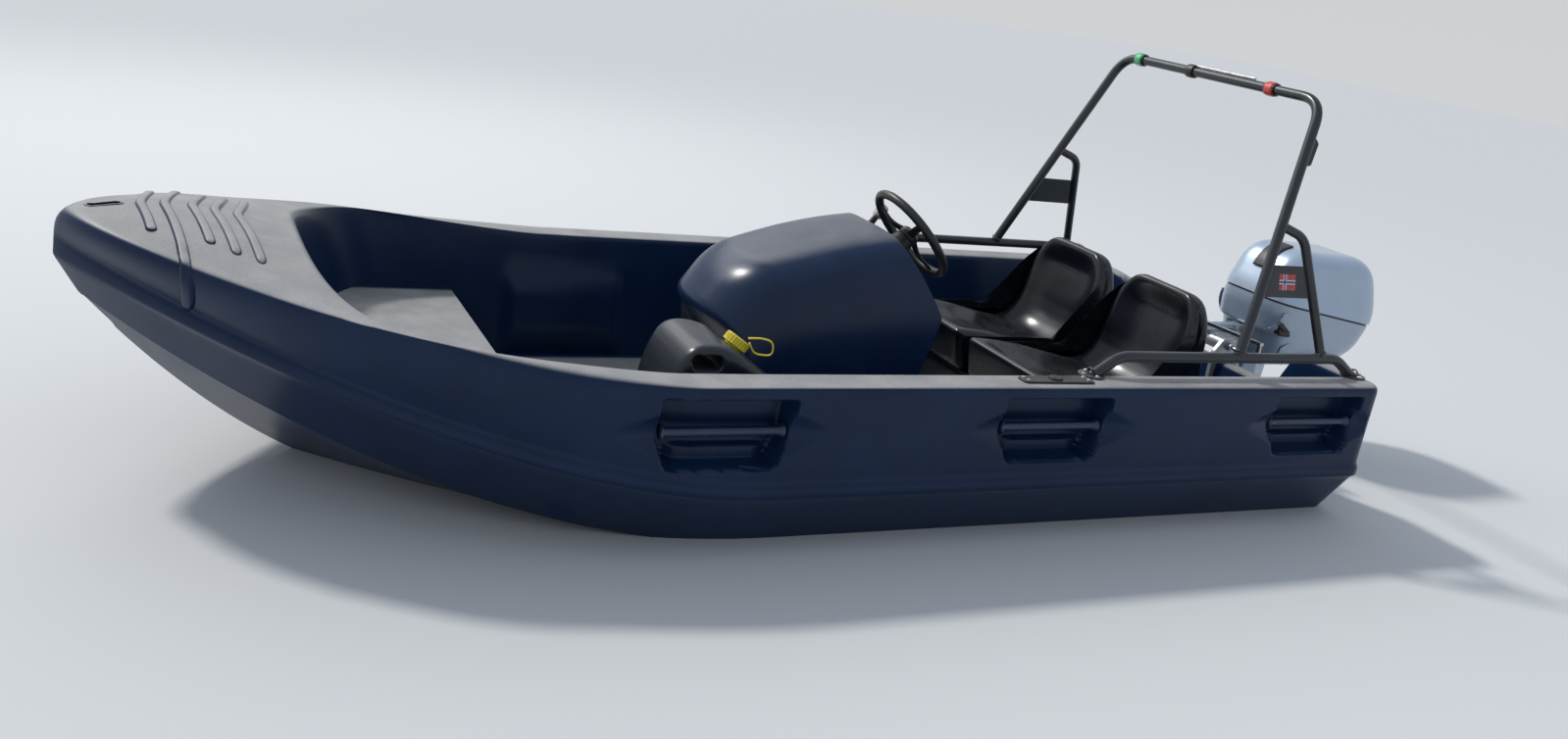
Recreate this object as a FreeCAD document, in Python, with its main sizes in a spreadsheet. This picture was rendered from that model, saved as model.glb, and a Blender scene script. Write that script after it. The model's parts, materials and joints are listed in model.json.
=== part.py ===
import FreeCAD, Part
import math
import os
from types import SimpleNamespace

import Sketcher
from FreeCAD import Placement, Rotation, Vector

# Rib-style moulded motor boat. X runs forward, Y to port and Z up, from the
# waterline amidships. All sizes are in millimetres.

SIZES = (
    # name, value
    ("hull_length", 3550),
    ("hull_beam", 1460),
    ("gunwale_height", 435),
    ("gunwale_width", 105),
    ("gunwale_round", 22),
    ("bow_rise", 190),
    ("deck_crown", 14),
    ("keel_depth", 140),
    ("strake_height", 170),
    ("strake_depth", 34),
    ("strake_step", 12),
    ("chine_inset", 120),
    ("chine_depth", 20),
    ("sole_height", 60),
    ("sole_inset", 50),
    ("well_front", 690),
    ("bench_height", 310),
    ("bench_back", 1010),
    ("deck_back", 530),
    ("transom_thick", 60),
    ("transom_height", 300),
    ("notch_width", 700),
    ("recess_length", 350),
    ("recess_height", 170),
    ("recess_depth", 70),
    ("recess_centre", 315),
    ("recess_spacing", 930),
    ("recess_first", 1400),
    ("grab_bar_size", 26),
    ("grab_bar_inset", 28),
    ("bead_width", 26),
    ("bead_height", 7),
    ("eye_bore", 24),
    ("eye_back", 75),
    ("tube_size", 31),
    ("rail_rise", 55),
    ("rail_front", 735),
    ("rail_back", 1737),
    ("rail_bend", 50),
    ("foot_size", 74),
    ("foot_thick", 5),
    ("hoop_foot", 1255),
    ("hoop_rise", 745),
    ("hoop_rake", 20.2),
    ("hoop_half", 456),
    ("hoop_bend", 95),
    ("brace_foot", 330),
    ("brace_join", 378),
    ("brace_bend", 75),
    ("gusset_low", 178),
    ("gusset_high", 272),
    ("gusset_thick", 4),
    ("console_front", 245),
    ("console_back", 605),
    ("console_top", 690),
    ("console_nose", 430),
    ("dash_foot", 425),
    ("console_half", 285),
    ("dash_top_back", 380),
    ("panel_thick", 5),
    ("wheel_size", 335),
    ("wheel_rim", 27),
    ("wheel_hub", 66),
    ("wheel_lift", 68),
    ("wheel_up", 55),
    ("wheel_offset", -30),
    ("boss_size", 96),
    ("throttle_length", 150),
    ("throttle_width", 62),
    ("throttle_height", 96),
    ("seat_width", 410),
    ("seat_gap", 44),
    ("seat_front", 790),
    ("seat_back", 1290),
    ("seat_top", 592),
    ("pan_height", 372),
    ("pan_thick", 62),
    ("back_thick", 74),
    ("box_height", 230),
    ("tank_length", 330),
    ("tank_width", 235),
    ("tank_height", 380),
    ("tank_front", 480),
    ("tank_gap", 8),
    ("cap_size", 70),
    ("tilt_back", 1752),
    ("tilt_height", 350),
    ("tilt_tube", 28),
    ("steer_back", 1872),
    ("steer_post", 30),
    ("clamp_half", 105),
    ("clamp_thick", 14),
    ("jaw_depth", 100),
    ("cowl_front", 1846),
    ("cowl_back", 2425),
    ("cowl_width", 345),
    ("cowl_top", 702),
    ("seam_front", 520),
    ("seam_back", 425),
    ("pan_bottom", 268),
    ("cowl_wall", 5),
    ("leg_width", 66),
    ("plate_depth", 150),
    ("prop_depth", 300),
    ("skeg_depth", 450),
    ("gearcase_size", 88),
    ("prop_size", 232),
    ("arm_length", 150),
    ("running_gap", 0.5),
    ("yoke_height", 384),
    ("yoke_thick", 14),
    ("ram_size", 12),
    ("ram_reach", 250),
)

doc = FreeCAD.newDocument("moulded_boat")
sheet = doc.addObject("Spreadsheet::Sheet", "Sizes")
for row, (name, value) in enumerate(SIZES, start=1):
    sheet.set(f"A{row}", name)
    sheet.set(f"B{row}", str(value))
    sheet.setAlias(f"B{row}", name)
doc.recompute()


class Size:
    """A length with its value in millimetres and the expression that binds it to the sheet."""

    def __init__(self, text, value):
        self.text = text
        self.value = float(value)

    @staticmethod
    def of(other):
        return other if isinstance(other, Size) else Size(repr(float(other)), other)

    def join(self, sign, other, value):
        return Size(f"({self.text} {sign} {Size.of(other).text})", value)

    def __add__(self, other):
        return self.join("+", other, self.value + Size.of(other).value)

    def __sub__(self, other):
        return self.join("-", other, self.value - Size.of(other).value)

    def __mul__(self, other):
        return self.join("*", other, self.value * Size.of(other).value)

    def __truediv__(self, other):
        return self.join("/", other, self.value / Size.of(other).value)

    def __radd__(self, other):
        return Size.of(other) + self

    def __rsub__(self, other):
        return Size.of(other) - self

    def __rmul__(self, other):
        return Size.of(other) * self

    def __rtruediv__(self, other):
        return Size.of(other) / self

    def __neg__(self):
        return Size.of(0) - self


def cos(angle):
    angle = Size.of(angle)
    return Size(f"cos({angle.text})", math.cos(math.radians(angle.value)))


def sin(angle):
    angle = Size.of(angle)
    return Size(f"sin({angle.text})", math.sin(math.radians(angle.value)))


def atan(ratio):
    ratio = Size.of(ratio)
    return Size(f"(atan({ratio.text}) / 1 deg)", math.degrees(math.atan(ratio.value)))


def tan(angle):
    angle = Size.of(angle)
    return Size(f"tan({angle.text})", math.tan(math.radians(angle.value)))


s = SimpleNamespace(**{name: Size(f"Sizes.{name}", value) for name, value in SIZES})
NODES = []


def node(shape_object, label):
    """Names a finished sub-part; its label is also its file's name."""
    shape_object.Label = label
    NODES.append(shape_object)
    return shape_object


def bind(target, **sizes):
    """Binds properties of an object to expressions in the sheet."""
    for name, size in sizes.items():
        target.setExpression(name, Size.of(size).text)


def place(target, x=0, y=0, z=0, axis=None, angle=0):
    """Moves a sub-part to a bound place, turned by a bound angle about an axis."""
    if axis is not None:
        target.Placement = Placement(Vector(), Rotation(Vector(*axis), Size.of(angle).value))
        for name, share in zip("xyz", axis):
            target.setExpression(f"Placement.Rotation.Axis.{name}", repr(float(share)))
        target.setExpression("Placement.Rotation.Angle", Size.of(angle).text)
    for name, size in zip("xyz", (x, y, z)):
        target.setExpression(f"Placement.Base.{name}", Size.of(size).text)
    return target


def body(name):
    return doc.addObject("PartDesign::Body", name)


def sketch(owner, name, role, level=0):
    """A sketch on one of its body's origin planes, raised along the plane's normal."""
    drawing = owner.newObject("Sketcher::SketchObject", name)
    base = next(item for item in owner.Origin.OriginFeatures if item.Role == role)
    drawing.AttachmentSupport = [(base, "")]
    drawing.MapMode = "FlatFace"
    drawing.AttachmentOffset = Placement(Vector(0, 0, Size.of(level).value), Rotation())
    drawing.setExpression("AttachmentOffset.Base.z", Size.of(level).text)
    return drawing


def rounding(before, corner, after, radius):
    """Tangent points, centre and sweep of the arc that rounds a corner."""
    to_before = (before - corner).normalize()
    to_after = (after - corner).normalize()
    half = to_before.getAngle(to_after) / 2
    reach = radius / math.tan(half)
    middle = (to_before + to_after).normalize()
    centre = corner + middle * (radius / math.sin(half))
    return corner + to_before * reach, corner + to_after * reach, centre


def named(constraint, name, size, pins):
    """Collects a constraint whose value is bound to the sheet."""
    constraint.Name = name
    pins.append((constraint, size.text))


def pin_point(number, position, u, v, pins):
    """Holds a sketch point to an origin axis or to a bound distance from it, for each coordinate."""
    for axis, across, size in (("X", -2, u), ("Y", -1, v)):
        if size.value == 0:
            pins.append((Sketcher.Constraint("PointOnObject", number, position, across), None))
        else:
            held = Sketcher.Constraint("Distance" + axis, -1, 1, number, position, size.value)
            named(held, f"{axis.lower()}{number}_{position}", size, pins)


def apply_pins(drawing, pins):
    """Adds all constraints of a sketch in one step, then binds the dimensions."""
    drawing.addConstraint([constraint for constraint, text in pins])
    for constraint, text in pins:
        if text is not None:
            drawing.setExpression(f"Constraints.{constraint.Name}", text)


def outline(drawing, corners, closed=True):
    """Draws lines through the corners (u, v) or (u, v, radius), with rounded corners as tangent arcs."""
    corners = [tuple(Size.of(item) for item in corner) for corner in corners]
    points = [Vector(corner[0].value, corner[1].value, 0) for corner in corners]
    count = len(corners)
    pins = []
    enter, leave, centres = {}, {}, {}
    for i, corner in enumerate(corners):
        inner = closed or 0 < i < count - 1
        if inner and len(corner) == 3:
            enter[i], leave[i], centres[i] = rounding(
                points[i - 1], points[i], points[(i + 1) % count], corner[2].value)
        else:
            enter[i], leave[i] = points[i], points[i]
    lines = {}
    for i in range(count if closed else count - 1):
        following = (i + 1) % count
        lines[i] = drawing.addGeometry(Part.LineSegment(leave[i], enter[following]), False)
    for i, corner in enumerate(corners):
        before = lines.get((i - 1) % count) if closed or i else None
        after = lines.get(i)
        if i in centres:
            round_corner(drawing, before, after, points[i], enter[i], leave[i], centres[i], corner, pins)
        elif before is None:
            pin_point(after, 1, corner[0], corner[1], pins)
        else:
            if after is not None:
                pins.append((Sketcher.Constraint("Coincident", before, 2, after, 1), None))
            pin_point(before, 2, corner[0], corner[1], pins)
    apply_pins(drawing, pins)
    return drawing


def round_corner(drawing, before, after, corner_point, enter, leave, centre, corner, pins):
    """Joins two lines by a tangent arc and holds them to their virtual corner."""
    turn = (corner_point - enter).cross(leave - corner_point).z
    first, last = (enter, leave) if turn > 0 else (leave, enter)
    spoke_first, spoke_last = first - centre, last - centre
    circle = Part.Circle(centre, Vector(0, 0, 1), corner[2].value)
    arc = Part.ArcOfCircle(
        circle, math.atan2(spoke_first.y, spoke_first.x), math.atan2(spoke_last.y, spoke_last.x))
    number = drawing.addGeometry(arc, False)
    mark = drawing.addGeometry(Part.Point(corner_point), True)
    start, end = (1, 2) if turn > 0 else (2, 1)
    pin_point(mark, 1, corner[0], corner[1], pins)
    pins.append((Sketcher.Constraint("PointOnObject", mark, 1, before), None))
    pins.append((Sketcher.Constraint("PointOnObject", mark, 1, after), None))
    pins.append((Sketcher.Constraint("Tangent", before, 2, number, start), None))
    pins.append((Sketcher.Constraint("Tangent", number, end, after, 1), None))
    named(Sketcher.Constraint("Radius", number, corner[2].value), f"r{number}", corner[2], pins)


def ring(drawing, u, v, radius):
    """Draws one circle at a bound place."""
    u, v, radius = Size.of(u), Size.of(v), Size.of(radius)
    number = drawing.addGeometry(Part.Circle(Vector(u.value, v.value, 0), Vector(0, 0, 1), radius.value), False)
    pins = []
    pin_point(number, 3, u, v, pins)
    named(Sketcher.Constraint("Radius", number, radius.value), f"r{number}", radius, pins)
    apply_pins(drawing, pins)
    return drawing


def pad(owner, drawing, length, taper=0, centred=False, reverse=False, cut=False):
    """Pads or pockets a sketch along its normal, centred on it or to one side."""
    kind = "PartDesign::Pocket" if cut else "PartDesign::Pad"
    feature = owner.newObject(kind, drawing.Name + "_solid")
    feature.Profile = drawing
    feature.Type = 0
    feature.Midplane = centred
    feature.Reversed = reverse
    bind(feature, Length=length)
    if taper:
        feature.TaperAngle = taper
    drawing.Visibility = False
    return feature


def loft(owner, drawings, cut=False, ruled=False):
    kind = "PartDesign::SubtractiveLoft" if cut else "PartDesign::AdditiveLoft"
    feature = owner.newObject(kind, drawings[0].Name + "_loft")
    feature.Profile = drawings[0]
    feature.Sections = list(drawings[1:])
    feature.Ruled = ruled
    return feature


def pipe(owner, profile, path):
    feature = owner.newObject("PartDesign::AdditivePipe", path.Name + "_pipe")
    feature.Profile = profile
    feature.Spine = (path, [])
    return feature


def plain(kind, name, **sizes):
    """A Part primitive or boolean operand with bound sizes."""
    thing = doc.addObject(kind, name)
    bind(thing, **sizes)
    return thing


def cut(name, base, *tools):
    """Cuts tools from a base, one after another."""
    for number, tool in enumerate(tools):
        result = doc.addObject("Part::Cut", f"{name}_{number}")
        result.Base = base
        result.Tool = tool
        base = result
    return base


def fuse(name, *shapes):
    result = doc.addObject("Part::MultiFuse", name)
    result.Shapes = list(shapes)
    return result


def common(name, *shapes):
    result = doc.addObject("Part::MultiCommon", name)
    result.Shapes = list(shapes)
    return result


SIDES = (("port", 1), ("starboard", -1))
bow = s.hull_length / 2
stern = -s.hull_length / 2
half_beam = s.hull_beam / 2
rail_line = half_beam - s.gunwale_width + s.tube_size / 4
deck_height = s.gunwale_height + s.bow_rise


def hull():
    """The double-skin moulded hull: lofted outside, with the cockpit, bow well and notch cut in."""
    shell = body("hull_body")
    lines_plan = (
        # back from bow, half beam, sheer rise, strake half, strake rise, chine half, chine rise, keel rise
        (3550, 1.00, 0.00, 1.00, 0.00, 1.00, 0.00, 0.00),
        (1730, 1.00, 0.00, 1.00, 0.00, 1.00, 0.00, 0.00),
        (1430, 1.00, 0.00, 1.00, 0.00, 1.00, 0.00, 0.00),
        (930, 0.912, 0.32, 0.885, 0.34, 0.86, 0.17, 0.03),
        (560, 0.745, 0.74, 0.64, 0.71, 0.58, 0.52, 0.21),
        (310, 0.545, 0.95, 0.44, 0.93, 0.36, 0.84, 0.52),
        (120, 0.285, 0.90, 0.205, 0.98, 0.15, 1.14, 0.84),
        (40, 0.150, 0.80, 0.105, 0.97, 0.075, 1.24, 1.02),
        (0, 0.050, 0.55, 0.040, 0.93, 0.028, 1.31, 1.14),
    )
    strake_rise_full = 375
    chine_rise_full = 375
    keel_rise_full = 500
    chine_half = half_beam - s.chine_inset
    strake_half = half_beam - s.strake_step
    drawings = []
    for number, (back, half, sheer, strake, strake_up, chine, chine_up, keel_up) in enumerate(lines_plan):
        level = stern if number == 0 else bow - back
        section = sketch(shell, f"section_{number}", "YZ_Plane", level)
        gunwale_y = half_beam * half
        gunwale_z = s.gunwale_height + s.bow_rise * sheer
        strake_y = strake_half * strake
        strake_z = s.strake_height + strake_rise_full * strake_up
        chine_y = chine_half * chine
        chine_z = -s.chine_depth + chine_rise_full * chine_up
        keel_z = -s.keel_depth + keel_rise_full * keel_up
        band = min(1.0, half)
        side = (
            (chine_y, chine_z, 40 * half),
            (strake_y - 6, strake_z - s.strake_depth * band * 0.6),
            (strake_y + s.strake_step * half, strake_z - s.strake_depth * band * 0.35),
            (strake_y + s.strake_step * half, strake_z + s.strake_depth * band * 0.3),
            (strake_y + 2 * half, strake_z + s.strake_depth * band * 0.55),
            (gunwale_y, gunwale_z, s.gunwale_round),
        )
        corners = [(0, keel_z)]
        corners += list(side)
        corners.append((0, gunwale_z + s.deck_crown * sheer))
        corners += [(-corner[0],) + corner[1:] for corner in reversed(side)]
        drawings.append(outline(section, corners))
    loft(shell, drawings, ruled=True)

    sole_half = half_beam - s.gunwale_width - s.sole_inset
    well = sketch(shell, "cockpit", "XY_Plane", s.sole_height)
    draft = 6
    aft_wall = stern + s.transom_thick + (s.transom_height - s.jaw_depth - s.sole_height) * tan(draft)
    well_front = s.well_front
    outline(well, (
        (aft_wall, -sole_half, 50), (well_front, -sole_half, 60),
        (well_front, sole_half, 60), (aft_wall, sole_half, 50)))
    pad(shell, well, s.gunwale_height, taper=draft, reverse=True, cut=True)

    bow_low = sketch(shell, "bow_well_low", "XY_Plane", s.bench_height)
    bow_high = sketch(shell, "bow_well_high", "XY_Plane", deck_height + 60)
    bench = bow - s.bench_back
    edge = bow - s.deck_back
    inner = half_beam - s.gunwale_width
    for drawing, narrow, shorten in ((bow_low, 40, 120), (bow_high, -6, -8)):
        front = edge - shorten
        half_plan = (
            (bench - 160, inner - narrow),
            (bench + 150 - shorten / 2, inner - narrow, 380),
            (front - 55, inner * 0.79 - narrow * 2.2, 110),
            (front, inner * 0.5 - narrow, 200),
        )
        outline(drawing, half_plan[::1] + tuple(
            (corner[0], -corner[1]) + corner[2:] for corner in reversed(half_plan)))
    loft(shell, [bow_low, bow_high], cut=True, ruled=True)

    notch = sketch(shell, "notch", "YZ_Plane", stern - 20)
    half_notch = s.notch_width / 2
    outline(notch, (
        (-half_notch, s.transom_height, 50), (half_notch, s.transom_height, 50),
        (half_notch + 90, s.gunwale_height + 60), (-half_notch - 90, s.gunwale_height + 60)))
    pad(shell, notch, s.transom_thick + 60, reverse=True, cut=True)
    for side, sign in SIDES:
        for number in range(3):
            centre = bow - s.recess_first - number * s.recess_spacing
            recess = sketch(shell, f"recess_{side}_{number}", "XZ_Plane", -sign * (half_beam + 20))
            left, right = centre - s.recess_length / 2, centre + s.recess_length / 2
            low, high = s.recess_centre - s.recess_height / 2, s.recess_centre + s.recess_height / 2
            outline(recess, ((left, low, 30), (right, low, 30), (right, high, 30), (left, high, 30)))
            pad(shell, recess, s.recess_depth + 20, reverse=sign > 0, cut=True)

    eye = sketch(shell, "mooring_eye", "XY_Plane", 0)
    ring(eye, bow - s.eye_back, 0, s.eye_bore / 2)
    pad(shell, eye, deck_height + 100, reverse=True, cut=True)
    node(shell, "hull")


def grab_bars():
    """Straight bars across the side recesses, three a side."""
    for side, sign in SIDES:
        for number, name in enumerate(("fore", "mid", "aft")):
            bar = plain("Part::Cylinder", f"bar_{side}_{name}", Radius=s.grab_bar_size / 2, Height=s.recess_length)
            front = bow - s.recess_first - number * s.recess_spacing + s.recess_length / 2
            place(bar, front, sign * (half_beam - s.grab_bar_inset - s.grab_bar_size / 2),
                  s.recess_centre, (0, 1, 0), -90)
            node(bar, f"grab_bar_{side}_{name}")


def tube_along(name, owner, corners, size):
    """A round tube swept along a bent route of runs and arcs in the body's XZ plane."""
    path = sketch(owner, f"{name}_route", "XZ_Plane")
    outline(path, corners, closed=False)
    profile = sketch(owner, f"{name}_round", "XY_Plane", corners[0][1])
    ring(profile, corners[0][0], 0, size / 2)
    pipe(owner, profile, path)
    return owner


def arch():
    """Two rails, a raked hoop, two rear braces with gussets, and what the hoop carries."""
    rise = s.rail_rise
    length = s.rail_back - s.rail_front
    rails = {}
    for side, sign in SIDES:
        rail = body(f"rail_{side}")
        tube_along(f"rail_{side}", rail, (
            (0, s.foot_thick), (0, rise, s.rail_bend * 0.6),
            (-length, rise, s.rail_bend * 0.6), (-length, s.foot_thick)), s.tube_size)
        place(rail, -s.rail_front, sign * rail_line, s.gunwale_height)
        feet = []
        for end, back in (("fore", s.rail_front), ("aft", s.rail_back)):
            foot = plain("Part::Cylinder", f"foot_{side}_{end}", Radius=s.foot_size / 2, Height=s.foot_thick)
            place(foot, -back, sign * rail_line, s.gunwale_height)
            feet.append(foot)
        rails[side] = node(fuse(f"rail_feet_{side}", rail, *feet), f"arch_rail_{side}")

    hoop_base = s.gunwale_height + rise
    hoop_length = s.hoop_rise / cos(s.hoop_rake)
    hoop = body("hoop")
    path = sketch(hoop, "hoop_route", "YZ_Plane")
    outline(path, (
        (rail_line, 0), (s.hoop_half, hoop_length, s.hoop_bend),
        (-s.hoop_half, hoop_length, s.hoop_bend), (-rail_line, 0)), closed=False)
    profile = sketch(hoop, "hoop_round", "XY_Plane")
    ring(profile, 0, rail_line, s.tube_size / 2)
    pipe(hoop, profile, path)
    place(hoop, -s.hoop_foot, 0, hoop_base, (0, 1, 0), -s.hoop_rake)
    coped = node(cut("hoop_coped", hoop, rails["port"], rails["starboard"]), "arch_hoop")

    braces = {}
    lean_angle = atan((rail_line - s.hoop_half) / s.hoop_rise)
    for side, sign in SIDES:
        brace = body(f"brace_{side}")
        join_z = s.brace_join
        join_x = -join_z * tan(s.hoop_rake)
        tube_along(f"brace_{side}", brace, (
            (-s.brace_foot, 0), (-s.brace_foot + 30, join_z - 22, s.brace_bend),
            (join_x, join_z)), s.tube_size - 3)
        place(brace, -s.hoop_foot, sign * rail_line, hoop_base, (1, 0, 0), sign * lean_angle)
        braces[side] = node(cut(f"brace_coped_{side}", brace, rails[side], coped), f"arch_brace_{side}")

        gusset = body(f"gusset_body_{side}")
        web = sketch(gusset, f"gusset_{side}_web", "XZ_Plane")
        outline(web, (
            (-s.gusset_low * tan(s.hoop_rake), s.gusset_low),
            (-s.gusset_high * tan(s.hoop_rake), s.gusset_high),
            (-s.brace_foot + 24, s.gusset_high), (-s.brace_foot + 16, s.gusset_low)))
        pad(gusset, web, s.gusset_thick, centred=True)
        place(gusset, -s.hoop_foot, sign * rail_line, hoop_base, (1, 0, 0), sign * lean_angle)
        node(cut(f"gusset_coped_{side}", gusset, coped, braces[side]), f"arch_gusset_{side}")

    bar_x = -s.hoop_foot - s.hoop_rise * tan(s.hoop_rake)
    bar_z = hoop_base + s.hoop_rise
    for name, across, size, length in (
            ("nav_light_green", -370, 46, 34), ("nav_light_red", 250, 46, 34), ("pole_bracket", -110, 42, 46)):
        collar = plain("Part::Cylinder", f"{name}_collar", Radius=size / 2, Height=length)
        place(collar, bar_x, across - length / 2, bar_z, (1, 0, 0), -90)
        node(cut(f"{name}_bored", collar, hoop), name)
    pole = plain("Part::Cylinder", "pole_rod", Radius=4, Height=270)
    place(pole, bar_x, -110 + 23, bar_z + s.tube_size / 2 + 4.3, (1, 0, 0), -90)
    node(pole, "light_pole")


def console():
    """The moulded steering console, a rounded dome with a sloping dash."""
    dome = body("console_body")
    stations = (
        # y share of half width, top drop, front set back
        (-1.0, 120, 60),
        (-0.78, 34, 16),
        (0.0, 0, 0),
        (0.78, 34, 16),
        (1.0, 120, 60),
    )
    drawings = []
    for number, (share, drop, inset) in enumerate(stations):
        side = sketch(dome, f"console_side_{number}", "XZ_Plane", -share * s.console_half)
        front = s.console_front - inset
        top = s.console_top - drop
        outline(side, (
            (front, s.sole_height),
            (front, s.console_nose - drop * 0.4, 110),
            (front - 190 + inset * 0.4, top - 68, 260),
            (-s.dash_top_back, top, 30),
            (-s.console_back, s.dash_foot, 25),
            (-s.console_back, s.sole_height)))
        drawings.append(side)
    loft(dome, drawings)
    node(dome, "console")


def on_dash(thing):
    """Moves a sub-part drawn about the dash's middle onto the sloping dash face."""
    slope = atan((s.console_back - s.dash_top_back) / (s.console_top - s.dash_foot))
    return place(thing, -(s.console_back + s.dash_top_back) / 2, 0, (s.console_top + s.dash_foot) / 2,
                 (0, 1, 0), slope - 90)


def helm():
    """Dash panel, boss and steering wheel, square to the sloping dash."""
    panel = body("panel_body")
    plate = sketch(panel, "panel_outline", "XY_Plane")
    outline(plate, ((-105, -150, 20), (95, -150, 20), (95, 150, 20), (-105, 150, 20)))
    pad(panel, plate, s.panel_thick)
    node(on_dash(panel), "dash_panel")

    up, across = s.wheel_up, s.wheel_offset
    boss = body("boss_body")
    low = sketch(boss, "boss_low", "XY_Plane", s.panel_thick)
    ring(low, up, across, s.boss_size / 2)
    top = s.wheel_lift - 24
    high = sketch(boss, "boss_high", "XY_Plane", top)
    ring(high, up, across, s.wheel_hub / 2)
    loft(boss, [low, high], ruled=True)
    node(on_dash(boss), "helm_boss")

    wheel = body("wheel_body")
    hub = sketch(wheel, "wheel_hub_ring", "XY_Plane", top + s.running_gap)
    ring(hub, up, across, s.wheel_hub / 2)
    pad(wheel, hub, 30)
    spokes = []
    rim_radius = (s.wheel_size - s.wheel_rim) / 2
    for angle in (90, 210, 330):
        spoke = body(f"spoke_body_{angle}")
        arm = sketch(spoke, f"spoke_{angle}", "XY_Plane")
        outline(arm, ((10, -15), (rim_radius, -9), (rim_radius, 9), (10, 15)))
        pad(spoke, arm, 8)
        place(spoke, up, across, top + 12, (0, 0, 1), angle + 90)
        spokes.append(spoke)
    rim = plain("Part::Torus", "wheel_rim_ring", Radius1=rim_radius, Radius2=s.wheel_rim / 2)
    place(rim, up, across, top + 16)
    turning = fuse("wheel_parts", wheel, rim, *spokes)
    node(on_dash(turning), "steering_wheel")


def throttle():
    """Control box on the starboard flank of the console, with its lever."""
    box = body("throttle_body")
    face = sketch(box, "throttle_face", "XZ_Plane", s.console_half)
    middle = -s.console_back + 60
    height = s.dash_foot + 70
    outline(face, (
        (middle - s.throttle_length / 2, height - s.throttle_height / 2, 20),
        (middle + s.throttle_length / 2, height - s.throttle_height / 2, 20),
        (middle + s.throttle_length / 2, height + s.throttle_height / 2, 30),
        (middle - s.throttle_length / 2, height + s.throttle_height / 2, 30)))
    pad(box, face, s.throttle_width)
    node(box, "throttle_box")


def seats():
    """A moulded seat box with two one-piece bucket seats side by side."""
    top = s.sole_height + s.box_height
    base = body("seat_box_body")
    side = sketch(base, "seat_box_side", "XZ_Plane")
    outline(side, (
        (-s.seat_front - 40, s.sole_height), (-s.seat_back + 40, s.sole_height),
        (-s.seat_back + 60, top), (-s.seat_front - 20, top)))
    pad(base, side, 2 * s.seat_width + s.seat_gap, centred=True)
    node(base, "seat_box")
    for name, sign in SIDES:
        shell = body(f"seat_profile_{name}")
        line = sketch(shell, f"seat_side_{name}", "XZ_Plane")
        outline(line, (
            (-s.seat_front, s.pan_height, 18),
            (-s.seat_front - 305, s.pan_height - 28, 90),
            (-s.seat_back + 64, s.seat_top, 20),
            (-s.seat_back, s.seat_top - 10, 24),
            (-s.seat_back + 84, top, 40),
            (-s.seat_front - 10, top, 12)))
        pad(shell, line, s.seat_width, centred=True)
        front = body(f"seat_outline_{name}")
        shape = sketch(front, f"seat_front_{name}", "YZ_Plane")
        half = s.seat_width / 2
        outline(shape, ((-half, top), (half, top), (half, s.seat_top + 1, 130), (-half, s.seat_top + 1, 130)))
        pad(front, shape, s.seat_back + 20, reverse=True)
        seat = common(f"seat_common_{name}", shell, front)
        place(seat, 0, sign * (s.seat_width + s.seat_gap) / 2, 0)
        node(seat, f"seat_{name}")


def tank():
    """Portable fuel tank forward of the console's port corner, with a screw cap."""
    shell = body("tank_body")
    side = sketch(shell, "tank_side", "XZ_Plane")
    length, height = s.tank_length, s.tank_height
    outline(side, (
        (0, 0, 25), (0, height * 0.7, 40), (-70, height, 25),
        (-length + 20, height - 40, 30), (-length, height * 0.6, 30), (-length, 0, 25)))
    pad(shell, side, s.tank_width, centred=True)
    across = s.console_half + s.tank_gap + s.tank_width / 2
    place(shell, s.tank_front, across, s.sole_height)
    node(shell, "fuel_tank")
    cap = plain("Part::Cylinder", "cap_round", Radius=s.cap_size / 2, Height=30)
    run = s.tank_length - 90
    slope = atan(40 / run)
    middle = 0.62
    place(cap, s.tank_front - 70 - run * middle + 1, across, s.sole_height + s.tank_height - 40 * middle + 0.5,
          (0, 1, 0), -slope)
    node(cap, "fuel_cap")


def rowlocks():
    for side, sign in SIDES:
        plate = body(f"rowlock_body_{side}")
        shape = sketch(plate, f"rowlock_{side}", "XY_Plane", s.gunwale_height)
        outline(shape, ((-700, -28, 8), (-475, -22, 8), (-475, 22, 8), (-700, 28, 8)))
        pad(plate, shape, 6)
        plug = sketch(plate, f"rowlock_plug_{side}", "XY_Plane", s.gunwale_height)
        ring(plug, -585, 0, 19)
        pad(plate, plug, 12)
        place(plate, 0, sign * (half_beam - s.gunwale_width / 2), 0)
        node(plate, f"rowlock_pad_{side}")


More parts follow.
